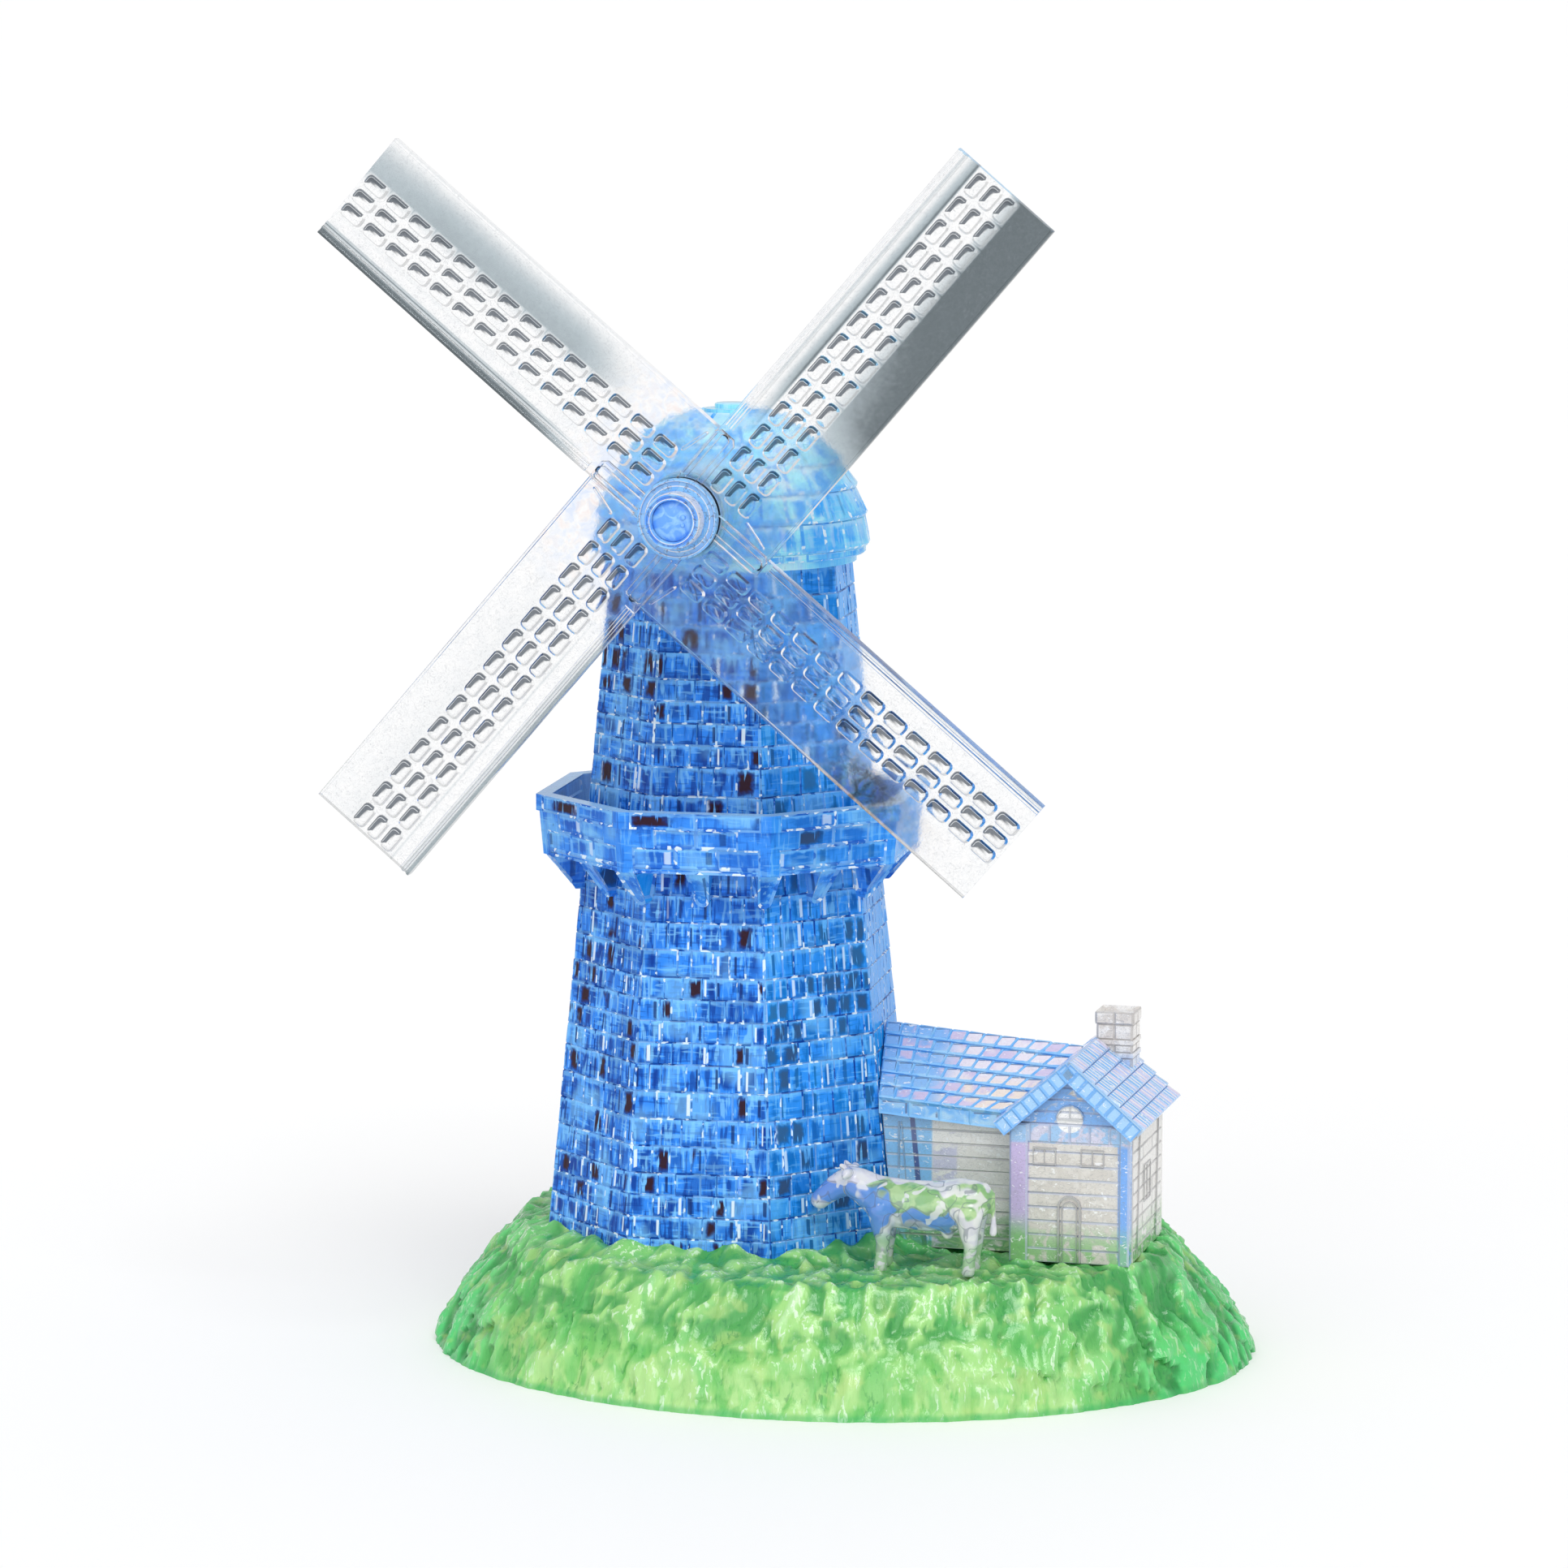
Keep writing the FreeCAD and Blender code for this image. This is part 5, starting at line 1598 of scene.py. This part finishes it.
def main_walls(material):
    """Make the two long walls of the main block."""
    rng = random.Random(8)
    for front in (True, False):
        bm = tiled_mesh()
        y = MAIN_FRONT_Y if front else WING_D

        def place(x, z, depth, y=y, front=front):
            if front:
                return cottage_place(x, y + depth, z)
            return cottage_place(-x, y - depth, z)

        eave_y = MAIN_MID_Y - MAIN_HALF_D
        top = main_roof_z(-8.0, eave_y) - ROOF_T

        def limits(z, y=y, front=front):
            edge = tower_side_x(y, z)
            return (edge, -0.1) if front else (0.1, -edge)

        boards(bm, place, 0.0, top, limits, 30, rng)
        if front:
            start = limits(0)[0]
            moulding(bm, place, [(start + 0.8, 1.5), (start + 0.8, top - 1)], 0.5, 0.3)
            moulding(bm, place, [(start + 1.2, top - 1), (start + 2.6, 2.0)], 0.35, 0.3)
        else:
            window_frame(bm, place, 5.0, 9.0, 8.0, 13.0)
        name = "cottage_main_front" if front else "cottage_main_back"
        add_piece(name, bm, material, "mill", ["main_front" if front else "main_back"])


def main_roof(side, name, node, material):
    """Make one slope of the main roof, in rows of square cells, with a fascia."""
    bm = tiled_mesh()
    rng = random.Random(31 + side)

    def ends(share):
        y = MAIN_MID_Y + side * MAIN_HALF_D * (1 - share)
        drop = MAIN_RISE * (1 - share)
        valley = WING_MID - (WING_RIDGE_Z - MAIN_RIDGE_Z + drop) / (WING_SLOPE + MAIN_FALL)
        if share < 0.05:
            valley = min(valley, -WING_EAVE_OUT)
        return y, tower_side_x(y, main_roof_z(-8.0, y)), valley

    def place(x, share, lift):
        y = MAIN_MID_Y + side * MAIN_HALF_D * (1 - share)
        return cottage_place(x, y + side * 0.6 * lift, main_roof_z(x, y) + 0.8 * lift - ROOF_LIFT)

    for row in range(ROOF_STEPS):
        shares = (row / ROOF_STEPS, (row + 1) / ROOF_STEPS)
        limits = [ends(share)[1:] for share in shares]
        count = round((limits[0][1] - limits[0][0]) / CELL_W)
        joints = [spaced(*pair, count) for pair in limits]
        course(bm, place, joints, shares, ((ROOF_LIFT, 0), (-1.6, -1.6)), (0.22, 0.22, 0.03), rng)
    y, left, right = ends(0.0)

    def fascia(x, drop, depth):
        return cottage_place(x, y - side * depth, main_roof_z(x, y) - drop)

    joints = evenly(left, right, 5.0)
    course(bm, fascia, (joints, joints), (2.6, 0.2), ((0.0, 0.0), (0.9, 0.9)), (0.3, -0.2, 0.0), rng)
    return add_piece(name, bm, material, "mill", [node])


def chimney(material):
    """Make the chimney: four stepped storeys of blocks with a flat cap."""
    bm = tiled_mesh()
    x, y = 11.9, 21.4
    levels = [(2.7, wing_roof_z(x + 2.7) - 0.4), (2.7, 28.0), (2.95, 28.0), (2.95, 28.7), (2.7, 28.7),
              (2.7, 30.0), (2.95, 30.0), (2.95, 30.7), (2.7, 30.7), (2.7, 33.1), (2.9, 33.1), (2.9, 35.0)]
    corners = [(-1, -1), (0, -1), (1, -1), (1, 0), (1, 1), (0, 1), (-1, 1), (-1, 0)]
    rings = [[bm.verts.new(cottage_place(x + cx * half, y + cy * half, z)) for cx, cy in corners]
             for half, z in levels]
    sides = []
    for lower, upper in zip(rings, rings[1:]):
        sides += bridge(bm, lower, upper)
    top = bm.faces.new(rings[-1])
    bm.faces.new(list(reversed(rings[0])))
    blocks = [face for face in sides if face.calc_area() > 2.5 * MM * MM]
    raise_tiles(bm, blocks, (0.25, 0.15, 0.0), random.Random(3))
    bmesh.ops.inset_individual(bm, faces=[top], thickness=0.8 * MM, depth=-0.6 * MM)
    return add_piece("cottage_chimney", bm, material, "mill", ["chimney"])


# ---------------------------------------------------------------- cow

COW_FROM_MOUND = (18.4, -28.6)
COW_VOXEL = 0.25 * MM
COW_LIMBS = [
    [(-7.4, 0, 10.4, 3.4), (-3.5, 0, 9.9, 3.5), (1.0, 0, 9.9, 3.6), (4.6, 0, 10.5, 3.6), (6.8, 0, 10.9, 3.0)],
    [(-7.0, 0, 8.9, 2.9), (0.0, 0, 8.6, 3.0), (5.0, 0, 9.2, 3.0)],
    [(-8.6, 0, 11.0, 3.0), (-10.8, 0, 12.2, 2.6), (-12.6, 0, 12.8, 2.2)],
    [(-12.6, 0, 12.8, 2.2), (-14.6, 0, 11.6, 1.9), (-16.4, 0, 10.1, 1.55), (-16.9, 0, 9.6, 1.5)],
    [(-12.0, 1.3, 14.4, 0.6), (-12.2, 2.6, 14.3, 0.8), (-12.4, 3.3, 13.9, 0.4)],
    [(-12.0, -1.3, 14.4, 0.6), (-12.2, -2.6, 14.3, 0.8), (-12.4, -3.3, 13.9, 0.4)],
    [(-12.8, 0.9, 14.7, 0.6), (-13.3, 1.3, 15.2, 0.45)],
    [(-12.8, -0.9, 14.7, 0.6), (-13.3, -1.3, 15.2, 0.45)],
    [(2.6, 0, 6.6, 1.4), (2.7, 0, 5.6, 1.0)],
    [(8.4, 0, 13.0, 0.6), (9.5, 0, 11.8, 0.45), (9.7, 0, 8.4, 0.4), (9.6, 0, 6.0, 0.65)],
]
COW_LEG = [(0, 9.0, 2.2), (0, 6.2, 1.55), (0.25, 4.2, 1.1), (0.0, 2.0, 0.95), (-0.1, 0.7, 1.1),
           (-0.15, 0.3, 1.1)]
# Painted blue refraction pools on the cow: from and to in x, from and to in z, in millimetres.
COW_POOLS = [(-11.5, -5.6, 4.5, 11.6), (-3.6, 3.4, 7.4, 9.4), (-17.2, -12.4, 9.6, 13.0)]
cow_origin = Vector((mound_x + COW_FROM_MOUND[0] * MM, COW_FROM_MOUND[1] * MM, ground))


def add_limb(bm, stations):
    """Add a row of overlapping balls along stations of (x, y, z, radius) in millimetres."""
    for start, end in zip(stations, stations[1:]):
        gap = (Vector(end[:3]) - Vector(start[:3])).length
        count = max(2, math.ceil(gap / 0.35))
        for i in range(count + 1):
            share = i / count
            x, y, z, radius = (a + (b - a) * share for a, b in zip(start, end))
            spot = Matrix.Translation(beside(cow_origin, x, y, z))
            bmesh.ops.create_icosphere(bm, subdivisions=2, radius=radius * MM, matrix=spot)


def cow(material):
    """Make the standing cow as one smooth moulded body."""
    bm = bmesh.new()
    for stations in COW_LIMBS:
        add_limb(bm, stations)
    for x in (-7.0, 6.4):
        for y in (-1.9, 1.9):
            add_limb(bm, [(x + dx, y, z, radius) for dx, z, radius in COW_LEG])
    mesh = bpy.data.meshes.new("cow_rough")
    bm.to_mesh(mesh)
    bm.free()
    rough = put("cow_rough", mesh)
    remesh = rough.modifiers.new("skin", "REMESH")
    remesh.mode = "VOXEL"
    remesh.voxel_size = COW_VOXEL
    soften = rough.modifiers.new("soften", "SMOOTH")
    soften.factor = 0.6
    soften.iterations = 6
    skin = bpy.data.meshes.new_from_object(rough.evaluated_get(bpy.context.evaluated_depsgraph_get()))
    bpy.data.objects.remove(rough)
    bm = bmesh.new()
    bm.from_mesh(skin)
    for vertex in bm.verts:
        vertex.co.z = max(vertex.co.z, ground - 0.3 * MM)
    return add_piece("cow_body", bm, material, "mill", ["cow"], smooth=80)


# ---------------------------------------------------------------- stage

WORLD_LIGHT = 0.74
SUN_LIGHT = 1.1
FILL_LIGHT = 0.6


def sun_light(name, direction, strength, spread):
    """Add a soft light that shines along a direction."""
    data = bpy.data.lights.new(name, "SUN")
    data.energy = strength
    data.angle = math.radians(spread)
    put(name, data).rotation_euler = Vector(direction).to_track_quat("-Z", "Y").to_euler()


def studio():
    """Add the floor, the lights and the world."""
    bm = bmesh.new()
    bmesh.ops.create_grid(bm, x_segments=2, y_segments=2, size=60)
    mesh = bpy.data.meshes.new("floor")
    bm.to_mesh(mesh)
    bm.free()
    floor = put("floor", mesh)
    shade = Shade("floor_white")
    shader = shade.add("ShaderNodeBsdfPrincipled")
    shader.inputs["Base Color"].default_value = (0.97, 0.97, 0.97, 1)
    shader.inputs["Roughness"].default_value = 0.7
    shade.add("ShaderNodeOutputMaterial", shader.outputs[0])
    mesh.materials.append(shade.material)

    world = bpy.data.worlds.new("studio")
    bpy.context.scene.world = world
    world.use_nodes = True
    world.node_tree.nodes["Background"].inputs[0].default_value = (1, 1, 1, 1)
    world.node_tree.nodes["Background"].inputs[1].default_value = WORLD_LIGHT

    sun_light("sun", (-0.35, 0.75, -1.0), SUN_LIGHT, 30)
    sun_light("fill", (0.15, 1.0, -0.35), FILL_LIGHT, 60)
    bpy.context.scene.view_settings.view_transform = "Standard"


def camera():
    """Add the camera at the viewing angle."""
    right = Vector((math.cos(CAMERA_AZIMUTH), math.sin(CAMERA_AZIMUTH), 0))
    target = Vector((mound_x, 0, 0)) - CAMERA_LEFT * right + Vector((0, 0, CAMERA_AIM_Z))
    back = Vector((math.sin(CAMERA_AZIMUTH), -math.cos(CAMERA_AZIMUTH), 0)) * math.cos(CAMERA_ELEVATION)
    back.z = math.sin(CAMERA_ELEVATION)
    data = bpy.data.cameras.new("camera")
    data.lens = CAMERA_LENS
    data.sensor_width = 36
    data.clip_end = 200
    eye = put("camera", data)
    eye.location = target + back * CAMERA_DISTANCE
    eye.rotation_euler = (-back).to_track_quat("-Z", "Y").to_euler()
    bpy.context.scene.camera = eye


# ---------------------------------------------------------------- build

blue = crystal_blue("tower_blue", (52, 136, 240), (14, 58, 148), (132, 204, 255), 0.17, 1.0, 0.0)
gallery_blue = crystal_blue("gallery_blue", (60, 142, 242), (30, 92, 194), (140, 208, 252), 0.17, 0.7, 0.0)
cap_blue = crystal_blue("cap_blue", (160, 238, 255), (60, 160, 250), (236, 252, 255), -0.3, 0.45, 0.6)
tower(blue)
for quarter in range(4):
    gallery_piece(quarter, gallery_blue)

rim_ring(cap_blue)
dome_part("dome_front_shingles", "dome_front", range(4), 0.5, 1.0, cap_blue)
dome_part("dome_back_shingles", "dome_back", range(4), 0.0, 0.5, cap_blue)
dome_part("dome_top_shingles", "dome_top", range(4, 6), 0.0, 1.0, cap_blue)
dome_crown(cap_blue)
housing(cap_blue)

sail_plastic = sail_clear()
for number in range(4):
    sail(number, sail_plastic)
sail_ribs(sail_plastic)
hub_plastic = hub_clear()
hub_piece(hub_plastic)
hub_arms(sail_plastic)
hub_lens(hub_plastic)

wing_front(cottage_front_clear())
wall_plastic = cottage_wall_clear()
wing_walls(wall_plastic)
main_walls(wall_plastic)
wing_plastic = wing_roof_clear()
wing_roof(-1, "wing_roof_left_rows", "wing_roof_left", wing_plastic)
wing_roof(1, "wing_roof_right_rows", "wing_roof_right", wing_plastic)
main_plastic = main_roof_clear()
main_roof(-1, "main_roof_front_cells", "main_roof_front", main_plastic)
main_roof(1, "main_roof_back_cells", "main_roof_back", main_plastic)
chimney(chimney_clear())
cow(cow_clear())

mound(grass_green())
for node in ("windshaft", "shaft_clip", "hub_collar"):
    for socket in frame["nodes"][node].material_slots:
        socket.material = hub_plastic
studio()
camera()
